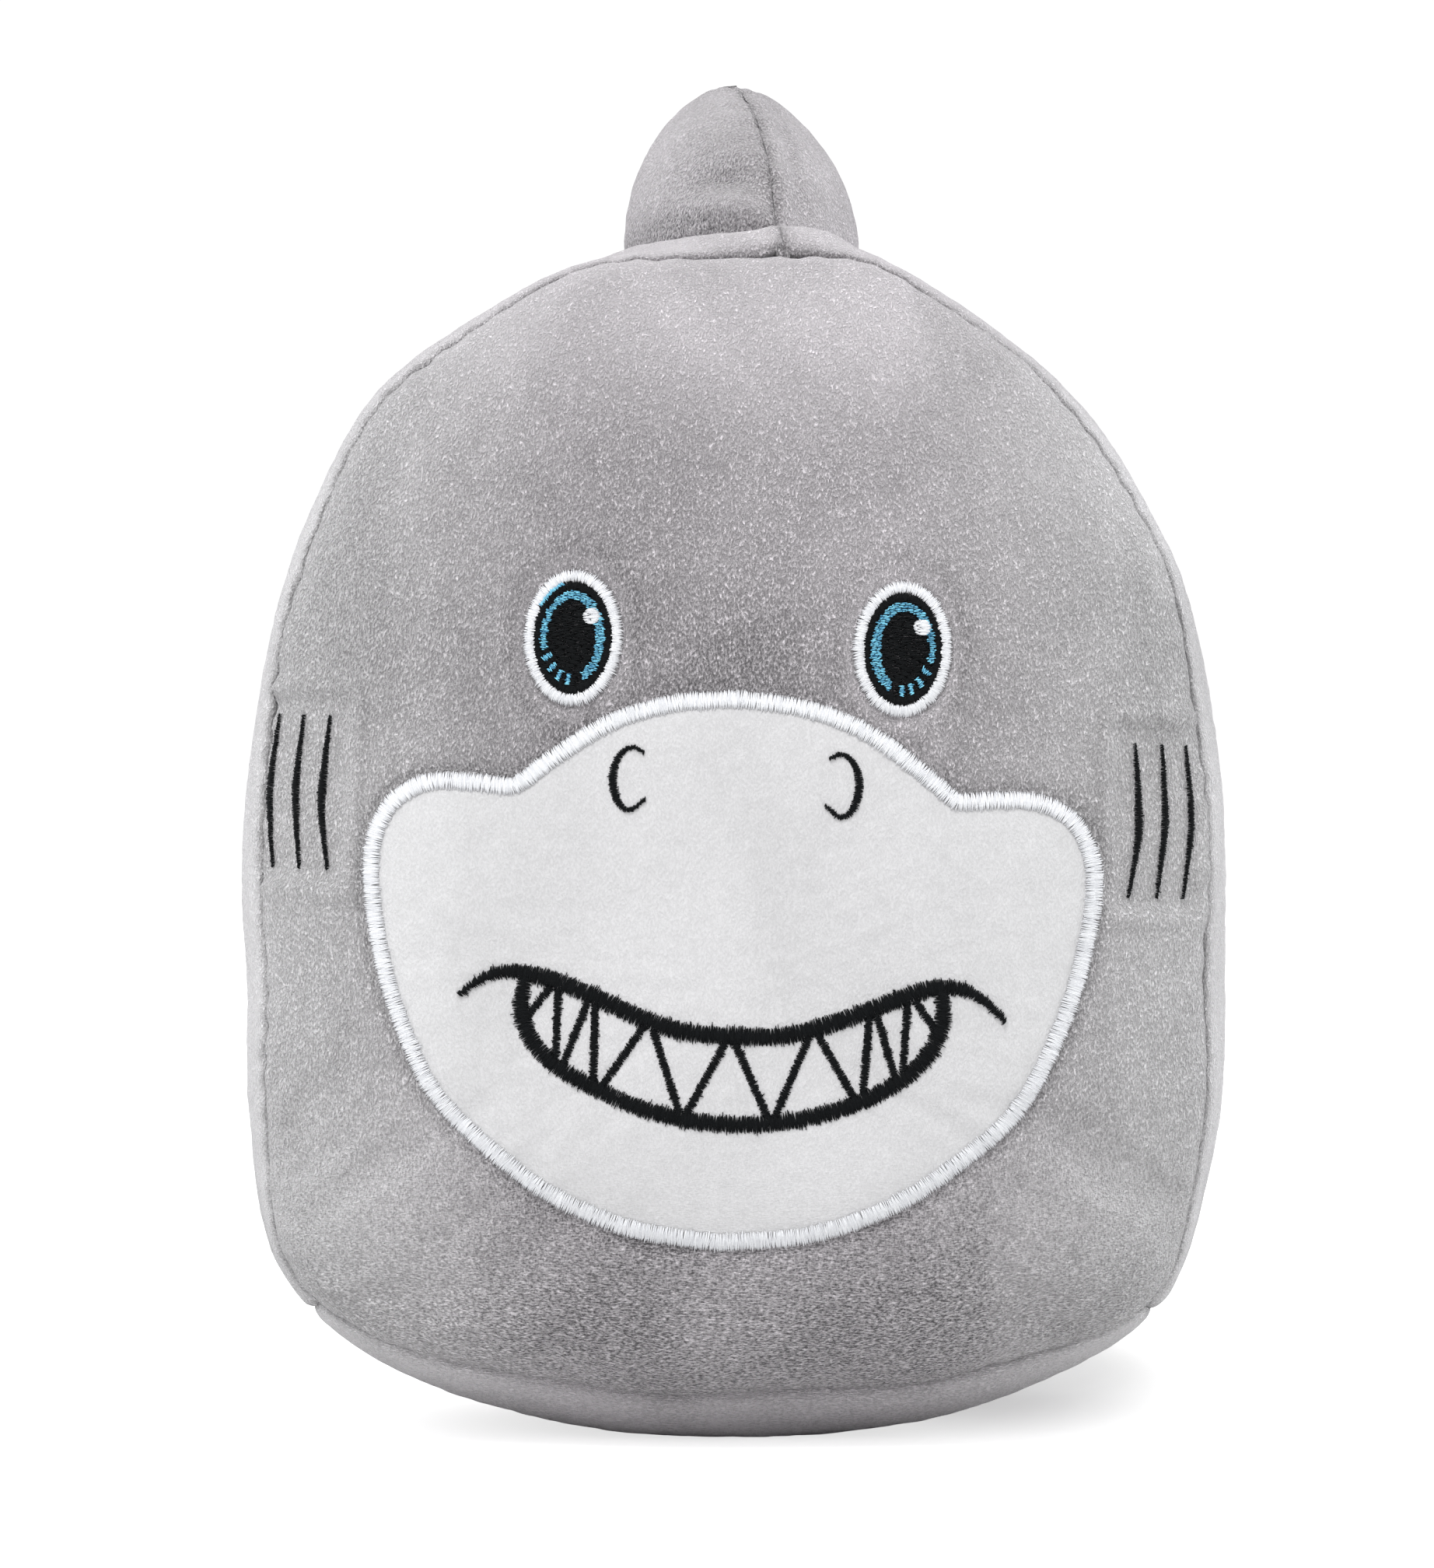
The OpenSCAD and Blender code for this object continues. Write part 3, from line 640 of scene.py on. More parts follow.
ART_TURN = math.radians(2)
ART_PIVOT_Z = 133.0
BORDER_W = 3.6
MUZZLE_HALF = [
    (0, 163.9), (14, 162.5), (27, 158.2), (38, 151.2), (47.5, 143.7),
    (57, 144.5), (66, 144), (74, 139.5), (78.5, 131), (79, 121), (76.5, 106),
    (72, 92), (63.5, 75.5), (50, 63), (36, 53.8), (19, 47.5), (0, 45.3),
]
NOTCH = 4
MUZZLE_CENTRE = np.array([0.0, 108.0])
MOUTH_HALF = [(0, 91.2), (11, 91.8), (21, 94.8), (33, 99.8), (41, 103), (48, 103.5), (53.5, 101), (58, 97)]
MOUTH_MIDDLE_Z = MOUTH_HALF[0][1]
JAW_HALF = [(0, 72.6), (12, 73.6), (24, 77), (35, 82.5), (41.8, 89), (44.6, 96), (44.2, 102.6)]
MOUTH_SHIFT = (0.8, -0.3)
MOUTH_TURN = math.radians(0.9)
DROOP = (1.3, -44, 10)
TOOTH_SIDES = [
    ((1.3, 89.2), (8, 75.6)), ((16, 90.4), (10.6, 75.9)), ((19, 91.4), (26, 80.4)),
    ((29, 95.2), (28.6, 81.6)), ((31, 96), (34.9, 84.8)), ((37, 98.6), (36.8, 87)),
    ((39.5, 99.4), (42.4, 95.6)),
]
TOOTH_REACH = 1.4
NOSTRIL_HALF = [(19.6, 150.2), (22.4, 151.2), (25, 149), (26.1, 144.6), (25, 140), (22.4, 137.9),
                (19, 140.4)]
GILL_XS = (86.5, 92.5, 98.0)
GILL_BOWS = ((1.5, 0.6, -1.1), (1.4, 0.5, -0.3), (1.9, 0.5, 0.7))  # bow, its peak, shift of the foot
GILL_TOP_Z = 156.5
GILL_LENGTH = 33.0
GILLS_SHIFT = (-1.0, -0.7)
GILL_PAD_HALF_W = 9.5
GILL_PAD_HALF_H = GILL_LENGTH / 2 + 3.5
EYE_AT = (35.0, 174.0)
EYES_SHIFT = -0.6
EYE_RING = np.array([10.2, 14.7])
EYE_BLACK = np.array([8.2, 11.6])
IRIS_OUT = np.array([6.8, 9.9])
IRIS_IN = np.array([5.2, 8.1])
IRIS_SHIFT = 0.3
IRIS_SPAN = (-66, 198)
DASH_ANGLES = {-1: (208, 226, 244, 264), 1: (211, 231, 251, 270)}
SLIP_SPAN = (106, 150)
GLINT_AT = np.array([3.9, 4.7])
GLINT_R = 1.9


def mirrored(points):
    """The left half of a line whose right half starts at x = 0, then the right half."""
    return [(-x, z) for x, z in points[:0:-1]] + points


def on_mouth(points):
    """The mouth sits a little askew on the rest of the art."""
    x, z = np.asarray(points, float).T
    c, s = math.cos(MOUTH_TURN), math.sin(MOUTH_TURN)
    z = z - MOUTH_MIDDLE_Z
    z, x = MOUTH_MIDDLE_Z - x * s + z * c - bump(x, *DROOP), x * c + z * s
    return np.stack([x + MOUTH_SHIFT[0], z + MOUTH_SHIFT[1]], -1)


def muzzle_loop():
    """The muzzle's outline. The nose's arch and the cheek meet in a sharp notch."""
    nose = curve(MUZZLE_HALF[: NOTCH + 1], 10)
    cheek = curve(MUZZLE_HALF[NOTCH:], 10)
    right = np.vstack([nose, cheek[1:]])
    left = right[::-1] * (-1, 1)
    return np.vstack([right, left[1:-1]])[::-1]


MUZZLE = even(muzzle_loop(), 1.5, closed=True)


def turned(points):
    """From the art's drawing to the face's x and z."""
    x, z = points[..., 0], points[..., 1] - ART_PIVOT_Z
    c, s = math.cos(ART_TURN), math.sin(ART_TURN)
    return np.stack([x * c + z * s, ART_PIVOT_Z - x * s + z * c], -1)


def drawn(x, z):
    """From the face's x and z back to the art's drawing."""
    dz = z - ART_PIVOT_Z
    c, s = math.cos(ART_TURN), math.sin(ART_TURN)
    return x * c - dz * s, ART_PIVOT_Z + x * s + dz * c


def from_border(x, z):
    """Distance from the muzzle's outline; negative inside it."""
    p = np.stack([x.ravel(), z.ravel()], -1)
    best = np.full(len(p), 1e9)
    within = np.zeros(len(p), bool)
    for (ax, az), (bx, bz) in zip(MUZZLE, np.roll(MUZZLE, -1, 0)):
        d = np.array([bx - ax, bz - az])
        t = np.clip(((p - (ax, az)) @ d) / (d @ d), 0, 1)
        best = np.minimum(best, np.hypot(p[:, 0] - ax - t * d[0], p[:, 1] - az - t * d[1]))
        crosses = (az > p[:, 1]) != (bz > p[:, 1])
        if bz != az:
            within ^= crosses & (p[:, 0] < ax + (p[:, 1] - az) / (bz - az) * d[0])
    return np.where(within, -best, best).reshape(x.shape)


def from_eye(x, z, side):
    """Rough distance from an eye's white ring; negative inside it."""
    dx, dz = x - side * EYE_AT[0] - EYES_SHIFT, z - EYE_AT[1]
    r = np.hypot(dx / EYE_RING[0], dz / EYE_RING[1])
    return (r - 1) * np.mean(EYE_RING)


# ---- the sewn body ----

FACE_GRID = (98, 480)
BACK_GRID = (72, 380)
GUSSET_GRID = (84, 400)
BASE_GRID = (84, 260)
CLOTH_T = 1.6
SEAM_ALLOWANCE = (0.8, 1.8, 3.0)
FRONT_SEED, BACK_SEED = 5, 25
MUZZLE_SINK = 0.9
CLOSE_PULL, CLOSE_REACH = 2.4, 1.5
PUCKERS, PUCKER_REACH = 0.34, 5
SWAYS, SWAY_REACH = 0.9, 18
UNDER_PULL, UNDER_REACH = (1.1, 270, 34), 1.2  # more where the seam lies over the base
TUFT_H, TUFT_SIZE = 0.22, 3.4
GROOVE_BY_BORDER, ROLL_BY_BORDER = (-0.55, 0.5, 1.3), (0.35, 5, 3.5)
GROOVE_BY_EYE, ROLL_BY_EYE = (-0.55, 0.4, 1.3), (0.45, 5, 3)
GILL_PRESS, GILL_RIM = 1.1, (0.6, 2.0, 1.8)
DIP_BY_FIN, ROLL_BY_FIN = (1.2, 0, 1.6), (-1.3, 5.0, 3.0)
LIP_H, LIP_LEFT, LIP_RIGHT, LIP_AHEAD, LIP_LONG = 6.0, 9, 13, 2, 8


def seam_phase(angle):
    """Share of the way round the seam at an angle, which spaces puckers evenly."""
    around = np.linspace(0, 360, 721)
    r = seam_reach(around)
    cos, sin = heading(around)
    far = along(np.stack([r * cos, r * sin], -1))
    return np.interp(np.asarray(angle) % 360, around, far / far[-1])


def tufted(grid, out):
    """The pile's uneven tufts, as real relief on a grid."""
    rise = [solid_noise.noise(Vector(p) / TUFT_SIZE) for p in grid.reshape(-1, 3)]
    return out * (TUFT_H * np.array(rise).reshape(grid.shape[:-1]))[..., None]


def pinch(d, phase, seed):
    """How far cloth is drawn in at distance d from a seam. Both sides of a seam share a seed."""
    close = CLOSE_PULL * np.exp(-d / CLOSE_REACH)
    small = PUCKERS * ripple(phase, 60, 120, seed) * bell(d, PUCKER_REACH)
    broad = SWAYS * ripple(phase, 5, 19, seed + 1) * np.exp(-d / SWAY_REACH)
    return close + small + broad


def drawn_in(out, d, phase, angle, side, seed):
    """Moves cloth in at the front (side -1) or back seam, along one shared direction on the seam itself."""
    cos, sin = heading(angle)
    shared = np.stack([cos, np.full(np.shape(angle), float(side)), sin], -1) / math.sqrt(2)
    near = bell(d, 2.5)[..., None]
    way = shared * near + out * (1 - near)
    under = np.exp(-d / UNDER_REACH) * bump(angle, *UNDER_PULL)
    return -way * (pinch(d, phase, seed) + under)[..., None]


def face_relief(x, z):
    """What the embroidery does to the face: grooves beside it and pressed cloth between the gills."""
    u, w = drawn(x, z)
    edge = from_border(u, w)
    relief = bump(edge, *GROOVE_BY_BORDER) + bump(edge, *ROLL_BY_BORDER)
    for side in (-1, 1):
        ring = from_eye(u, w, side)
        relief += bump(ring, *GROOVE_BY_EYE) + bump(ring, *ROLL_BY_EYE)
        dx = np.abs(u - side * np.mean(GILL_XS) - GILLS_SHIFT[0]) - GILL_PAD_HALF_W
        dz = np.abs(w - (GILL_TOP_Z - GILL_LENGTH / 2)) - GILL_PAD_HALF_H
        rim = bump(np.maximum(dx * 0.6, dz), *GILL_RIM) * (dx < 4)
        relief += -GILL_PRESS * inside(np.maximum(dx, dz), 0.6) + rim
    return relief


def turned_in(edge, angle, side):
    """Rows of the narrow allowance that is turned in past a seam, so that neighbours meet without a gap."""
    cos, sin = heading(angle)
    inward = -np.stack([cos, np.full(np.shape(angle), side * 0.9), sin], -1) / 1.35
    return np.array([edge + inward * k for k in SEAM_ALLOWANCE])


def turned_down(edge):
    """Columns of the allowance past one end of a strip, turned straight in towards the body's middle."""
    inward = (CENTRE - edge) * (1, 0, 1)
    return np.stack([edge + unit(inward) * k for k in SEAM_ALLOWANCE], 1)


def crowned(side, size, seed):
    """A face or back panel as a grid of points."""
    rows, cols = size
    t = np.linspace(0, 1, rows)[:, None]
    angle = (np.arange(cols) * 360 / cols)[None, :]
    t, angle = np.broadcast_arrays(t, angle)
    row = t * FACE_ROWS if side < 0 else BACK_SEAM + (1 - t) * BACK_ROWS
    grid = panel(t, angle, side) + wrinkle(row, angle)
    out = outward(grid, True, CENTRE)
    out[0] = (0, side, 0)
    d = row_distance(grid[::-1])[::-1]
    moved = drawn_in(out, d, seam_phase(angle), angle, side, seed)
    if side < 0:
        moved = moved + out * face_relief(grid[..., 0], grid[..., 2])[..., None]
    grid = grid + moved + tufted(grid, out)
    return np.concatenate([grid, turned_in(grid[-1], angle[-1], side)])


def seam_x(y):
    """Where the seam over the top of the head runs: in line with the fin."""
    return FIN_X - (y - FIN_Y) * math.tan(FIN_TURN)


def from_fin(x, y):
    """Rough distance from the fin's base outline; negative under the fin."""
    ahead = (y - FIN_Y) * math.cos(FIN_TURN) - (x - FIN_X) * math.sin(FIN_TURN)
    beside = (y - FIN_Y) * math.sin(FIN_TURN) + (x - FIN_X) * math.cos(FIN_TURN)
    long = np.abs(ahead / FIN_HALF_L) ** FIN_POWER
    wide = np.abs(beside / FIN_HALF_T) ** (1 / CROWN_POWER)
    return ((long + wide) ** 0.6 - 1) * 30


def fin_lip(x, y):
    """The gusset's cloth gathers into a low peak in front of the fin, on the seam over the head."""
    front = FIN_Y - FIN_HALF_L
    dx = x - seam_x(front)
    beside = np.exp(-np.abs(dx) / np.where(dx < 0, LIP_LEFT, LIP_RIGHT))
    return LIP_H * beside * bell(y - front - LIP_AHEAD, LIP_LONG)


def strip(start, end, size, seed, top_end=None):
    """A strip of the gusset between two angles; top_end says which end follows the top seam."""
    rows, cols = size
    t = np.linspace(0, 1, rows)[:, None]
    share = np.linspace(0, 1, cols)[None, :]
    y = MID_Y + np.sin(np.pi * (t - 0.5)) * HALF_DEPTH
    top = 90 - np.degrees(np.arctan2(seam_x(y), DOME_H - 5))
    first = top if top_end == "start" else start
    final = top if top_end == "end" else end
    angle = first + (final - first) * share + 0 * t
    t = np.broadcast_to(t, angle.shape)
    grid = gusset(t, angle) + wrinkle(FRONT_SEAM + t * SIDE_ROWS, angle)
    out = outward(grid, False, CENTRE)
    down = row_distance(grid)
    beside = column_distance(grid)
    from_end = np.minimum(beside, beside[:, -1:] - beside)
    phase = seam_phase(angle)
    moved = drawn_in(out, down, phase, angle, -1, FRONT_SEED)
    moved = moved + drawn_in(out, down[-1:] - down, phase, angle, 1, BACK_SEED)
    pull = 1.2 * np.exp(-from_end / 1.5) + 0.25 * ripple(t, 5, 14, seed) * bell(from_end, 7)
    fin = from_fin(grid[..., 0], grid[..., 1])
    high = grid[..., 2] > WAIST_Z
    pull = pull + np.where(high, bump(fin, *DIP_BY_FIN) + bump(fin, *ROLL_BY_FIN), 0)
    resting = np.clip(grid[..., 2] / 3, 0, 1)[..., None]
    grid = grid + (moved - out * pull[..., None] + tufted(grid, out)) * resting
    grid[..., 2] += fin_lip(grid[..., 0], grid[..., 1]) * high
    front = turned_in(grid[0], angle[0], -1)[::-1]
    grid = np.concatenate([front, grid, turned_in(grid[-1], angle[-1], 1)])
    grid = np.concatenate([turned_down(grid[:, 0])[:, ::-1], grid, turned_down(grid[:, -1])], 1)
    grid[..., 2] = np.maximum(0, grid[..., 2])
    return grid


PLAIN_NAP = 0.5
# painted light: the gusset strips are coloured lighter, standing in for the light they catch at the sides, and
# the base lighter still
SIDE_PAINTED_LIGHT = 1.5
BASE_PAINTED_LIGHT = 1.95
FACE_NAP_AND_PAINTED_LIGHT = [  # patches of painted light and shade, partly how the pile lies: where, how wide and tall, and how much lighter
    ((0, 171), (28, 20), -0.42), ((0, 244), (64, 20), 1.05), ((-62, 205), (26, 24), 0.12),
    ((64, 207), (26, 24), 0.34), ((-84, 180), (18, 26), 0.02), ((86, 176), (16, 26), 0.05),
    ((84, 104), (16, 34), 0.05),
]
LOW_PATCH = (58, 64)


def face_nap_and_painted_light(points):
    """Painted light and shade on the face, partly how its pile lies: lighter over the top of the brow, where it
    turns up to the light, darker between the eyes and low under the mouth, with painted highlights and shade
    around the eyes and a painted shadow outside the muzzle's border.
    """
    u, w = drawn(points[:, 0], points[:, 2])
    nap_and_painted_light = np.full(len(points), PLAIN_NAP)
    for (x, z), (wide, tall), amount in FACE_NAP_AND_PAINTED_LIGHT:
        nap_and_painted_light += amount * bell(u - x, wide) * bell(w - z, tall)
    # painted shade low on the face under the mouth, where it turns down from the light; its edge is sharp on
    # the right and soft on the left, and it is a little lighter beside it
    chin = inside(np.abs(u) - LOW_PATCH[0], np.where(u > 0, 1.2, 9))
    nap_and_painted_light += inside(w - LOW_PATCH[1], 4) * (0.14 - 0.40 * chin)
    for side in (-1, 1):
        ring = from_eye(u, w, side)
        # a painted highlight on the roll of pile just outside each eye's ring, and painted shade a little
        # further out
        nap_and_painted_light += 0.3 * bell(ring - 1.8, 1.0) - 0.2 * bell(ring - 4.5, 2.0)
    # painted shadow just outside the muzzle's border
    return nap_and_painted_light - 0.5 * bell(from_border(u, w) - 0.9, 0.9)


def back_nap(points):
    """The back's pile lies the same way all over."""
    return np.full(len(points), PLAIN_NAP)


def seam_painted_shade(grid):
    """Painted shade in the crease at the grid's last row, a painted highlight just beside it, and more painted
    shade where the seam runs low by the base.
    """
    d = row_distance(grid[::-1])[::-1]
    under = bell(grid[..., 2] - 12, 14)
    return -(1.3 + 0.7 * under) * np.exp(-((d / 1.8) ** 1.5)) + (0.12 - 0.2 * under) * bell(d - 5, 3)


def disc_nap_and_painted_light(grid, lie_and_light):
    """What a crowned panel stores: the panel's own value, with the seam's painted shade and highlight around
    it.
    """
    turned_rows = len(SEAM_ALLOWANCE)
    near = seam_painted_shade(grid[:-turned_rows])
    near = np.concatenate([near, np.repeat(near[-1:], turned_rows, 0)])
    return lie_and_light + np.concatenate([near[0][:1], near[1:].ravel()])


def strip_painted_light(grid):
    """What a gusset strip stores: painted light, lighter than the face, with painted shade in the creases on
    all four sides.
    """
    n = len(SEAM_ALLOWANCE)
    sewn_part = grid[n:-n, n:-n]
    lying = sewn_part.transpose(1, 0, 2)
    sides = seam_painted_shade(sewn_part) + seam_painted_shade(sewn_part[::-1])[::-1]
    ends = seam_painted_shade(lying) + seam_painted_shade(lying[::-1])[::-1]
    return SIDE_PAINTED_LIGHT + np.pad(sides + ends.T, n, mode="edge")


def cloth_piece(name, points, faces, node, nap_and_painted_light):
    """One of the body's grey panels."""
    made = store_pile_and_light(sewn(name, points, faces, GREY, CENTRE, CLOTH_T), nap_and_painted_light)
    place(made, [node])


class Ground:
    """The cloth under the embroidery, found by looking at it from in front."""

    def __init__(self, *grids):
        points, faces = [], []
        for grid in grids:
            faces += grid_faces(*grid.shape[:2], True, len(points)).tolist()
            points += grid.reshape(-1, 3).tolist()
        self.tree = BVHTree.FromPolygons(points, faces)

    def under(self, flat):
        """Surface points and outward normals under points of x and z."""
        shape = flat.shape[:-1]
        spots, outs = [], []
        ahead = Vector((0, 1, 0))
        for x, z in flat.reshape(-1, 2):
            spot, out, _, _ = self.tree.ray_cast(Vector((x, -200, z)), ahead)
            spots.append(spot if spot else Vector((x, MID_Y - HALF_DEPTH, z)))
            out = out if spot else Vector((0, -1, 0))
            outs.append(out if out.y < 0 else -out)
        return np.array(spots).reshape(*shape, 3), np.array(outs).reshape(*shape, 3)


def sunk_under_muzzle(grid):
    """The face, lower where the muzzle lies on it."""
    edge = from_border(*drawn(grid[..., 0], grid[..., 2]))
    return grid + np.array([0, MUZZLE_SINK, 0]) * inside(edge + 3, 0.5)[..., None]


face_grid = crowned(-1, FACE_GRID, FRONT_SEED)
back_grid = crowned(1, BACK_GRID, BACK_SEED)
face_ground = Ground(face_grid)

for name, grid, node, nap_and_painted_light in (("plush_face", sunk_under_muzzle(face_grid), "face_panel", face_nap_and_painted_light),
                              ("plush_back", back_grid, "back_panel", back_nap)):
    points = disc_points(grid)
    cloth_piece(name, points, disc_faces(*grid.shape[:2]), node, disc_nap_and_painted_light(grid, nap_and_painted_light(points)))
STRIPS = (
    ("plush_gusset_right", "gusset_right", CORNER_RIGHT, 90, GUSSET_GRID, 41, "end"),
    ("plush_gusset_left", "gusset_left", 90, CORNER_LEFT, GUSSET_GRID, 51, "start"),
    ("plush_base", "base_panel", CORNER_LEFT, 360 + CORNER_RIGHT, BASE_GRID, 61, None),
)
for name, node, start, end, size, seed, top_end in STRIPS:
    grid = strip(start, end, size, seed, top_end)
    nap_and_painted_light = strip_painted_light(grid) + (BASE_PAINTED_LIGHT - SIDE_PAINTED_LIGHT if top_end is None else 0)
    cloth_piece(name, grid, grid_faces(*grid.shape[:2], False), node, nap_and_painted_light)

# ---- the muzzle ----

MUZZLE_ROWS = 64
MUZZLE_INSET = 2.0
MUZZLE_T = 0.7
MUZZLE_LOW, MUZZLE_PUFF, MUZZLE_SLOPE = 0.1, 1.0, 4.0


def muzzle_grid():
    """The white patch: low under its border, then gently puffed, as rings from its middle."""
    spokes = MUZZLE - MUZZLE_CENTRE
    cut = MUZZLE_CENTRE + spokes * (1 - MUZZLE_INSET / np.linalg.norm(spokes, axis=1))[:, None]
    s = np.linspace(0, 1, MUZZLE_ROWS)[:, None, None] ** 0.85
    flat = MUZZLE_CENTRE + s * (cut - MUZZLE_CENTRE)
    edge = -from_border(flat[..., 0], flat[..., 1])
    spots, outs = face_ground.under(turned(flat))
    for _ in range(6):
        outs = (2 * outs + np.roll(outs, 1, 1) + np.roll(outs, -1, 1)) / 4
        outs[1:-1] = (2 * outs[1:-1] + outs[:-2] + outs[2:]) / 4
        outs[0] = outs[1].mean(0)
    spots[0] = spots[1].mean(0)
    lift = MUZZLE_LOW + MUZZLE_PUFF * (1 - np.exp(-np.maximum(0, edge - BORDER_W / 2) / MUZZLE_SLOPE))
    return spots + unit(outs) * lift[..., None]


muzzle_points = muzzle_grid()
muzzle = sewn("plush_muzzle", disc_points(muzzle_points), disc_faces(*muzzle_points.shape[:2]),
              WHITE, CENTRE, MUZZLE_T)
store_pile_and_light(muzzle, np.full(len(muzzle.data.vertices), PLAIN_NAP))
place(muzzle, ["muzzle_patch"])
art_ground = Ground(face_grid, muzzle_points)

# ---- embroidery ----

STRAND_POINTS = 6
STRAND_SIDES = 5
PITCH = 0.20


def strands(name, node, slot, lift, arch, radius, *stitches):
    """Stitches as strands of thread. Each of stitches is where its strands start, and where they end."""
    a, b = (np.vstack([s[k] for s in stitches]) for k in (0, 1))
    u = np.linspace(0, 1, STRAND_POINTS)
    flat = a[:, None] + (b - a)[:, None] * u[None, :, None]
    spots, outs = art_ground.under(turned(flat))
    rng = np.random.default_rng(len(a))
    rise = np.sqrt(np.maximum(0, 1 - (2 * u - 1) ** 2))
    up = lift + arch * rise[None] + rng.normal(0, 0.025, (len(a), 1))
    line = spots + outs * up[..., None]
    tangent = unit(np.gradient(line, axis=1))
    beside = unit(np.cross(tangent, outs))
    above = np.cross(beside, tangent)
    thick = radius * (0.55 + 0.45 * rise)[None, :, None] * rng.uniform(0.9, 1.1, (len(a), 1, 1))
    rings = []
    for k in range(STRAND_SIDES):
        turn = 2 * np.pi * k / STRAND_SIDES
        rings.append(line + thick * (math.cos(turn) * beside + math.sin(turn) * above))
    per = STRAND_POINTS * STRAND_SIDES
    starts = np.arange(len(a)) * per
    quads = grid_faces(STRAND_POINTS, STRAND_SIDES, True)[None] + starts[:, None, None]
    cap = np.arange(STRAND_SIDES)
    caps = [*(starts[:, None] + cap), *(starts[:, None] + per - 1 - cap)]
    made = sewn(name, np.stack(rings, 2), [*quads.reshape(-1, 4), *caps], THREADS[slot])
    stored(made, "shade", np.repeat(rng.random(len(a)), per))
    place(made, [node])


def satin(path, width, pitch, seed, closed=False, ragged=0.22):
    """Stitches square to a path. width is a number, or a function of the share of the way along."""
    line = even(path, pitch, closed)
    rng = np.random.default_rng(seed)
    share = np.arange(len(line)) / max(1, len(line) - 1)
    half = (width(share) if callable(width) else np.full(len(line), width)) / 2
    n = across(line, closed)
    t = np.stack([n[:, 1], -n[:, 0]], -1)
    lean = t * rng.normal(0, 0.12, len(line))[:, None]
    a = line + n * (half + np.abs(rng.normal(0, ragged, len(line))))[:, None] + lean
    b = line - n * (half + np.abs(rng.normal(0, ragged, len(line))))[:, None] - lean
    return a, b


def rows_of_stitches(within, low, high, pitch, stitch, seed, slope=0.0, reach_out=(0.0, 0.3)):
    """Fill stitches: rows of short strands where within(x, z) holds, each end moved out by a random reach."""
    rng = np.random.default_rng(seed)
    starts, ends = [], []
    for z in np.arange(low[1], high[1], pitch):
        x = np.arange(low[0], high[0], 0.08)
        on = within(x, z + slope * (x - low[0]))
        edges = np.flatnonzero(np.diff(np.concatenate([[0], on.astype(int), [0]])))
        for first, last in zip(edges[::2], edges[1::2]):
            x0, x1 = x[first] - rng.uniform(*reach_out), x[last - 1] + rng.uniform(*reach_out)
            cuts = np.arange(x0 + rng.random() * stitch, x1 - stitch * 0.3, stitch)
            marks = np.concatenate([[x0], cuts, [x1]])
            for p, q in zip(marks[:-1], marks[1:]):
                if q - p > 0.25:
                    rise = rng.normal(0, 0.05, 2)
                    starts.append((p, z + slope * (p - low[0]) + rise[0]))
                    ends.append((q, z + slope * (q - low[0]) + rise[1]))
    return np.array(starts), np.array(ends)


def tapered(width, tip, share):
    """A width that thins to a share of itself, tip, at both ends of a line."""
    return lambda s: width * (tip + (1 - tip) * np.minimum(1, np.minimum(s, 1 - s) / share))


def tooth(ends, side):
    """A tooth's side, run on a little under the lips' own thread at both ends."""
    a, b = (np.array([side * x, z]) for x, z in ends)
    d = TOOTH_REACH * (b - a) / np.linalg.norm(b - a)
    return on_mouth([a - d, b + d])


def nostril(word, side):
    """A short hook of thread beside the nose."""
    line = curve([(side * x, z) for x, z in NOSTRIL_HALF], 8)
    strands("satin_nostril_" + word, "nostril_" + word, "thread_black", 0.08, 0.4, 0.14,
            satin(line, tapered(1.5, 0.25, 0.4), PITCH, 90 + side, ragged=0.16))


def gills(word, side):
    """Three bowed strokes that thin out at both ends."""
    share = np.linspace(0, 1, 24)
    lines = []
    for k, (x, (bow, peak, foot)) in enumerate(zip(GILL_XS, GILL_BOWS)):
        out = np.interp(share, (0, peak, 1), (0, bow, foot)) * 0.5 + bow * 0.5 * np.sin(np.pi * share)
        line = np.stack([side * (x + out), GILL_TOP_Z - GILL_LENGTH * share], -1) + GILLS_SHIFT
        lines.append(satin(line, tapered(1.55 - 0.2 * k, 0.2, 0.45), PITCH, 95 + k + side, ragged=0.17))
    strands("satin_gills_" + word, "gill_lines_" + word, "thread_black", 0.12, 0.45, 0.14, *lines)


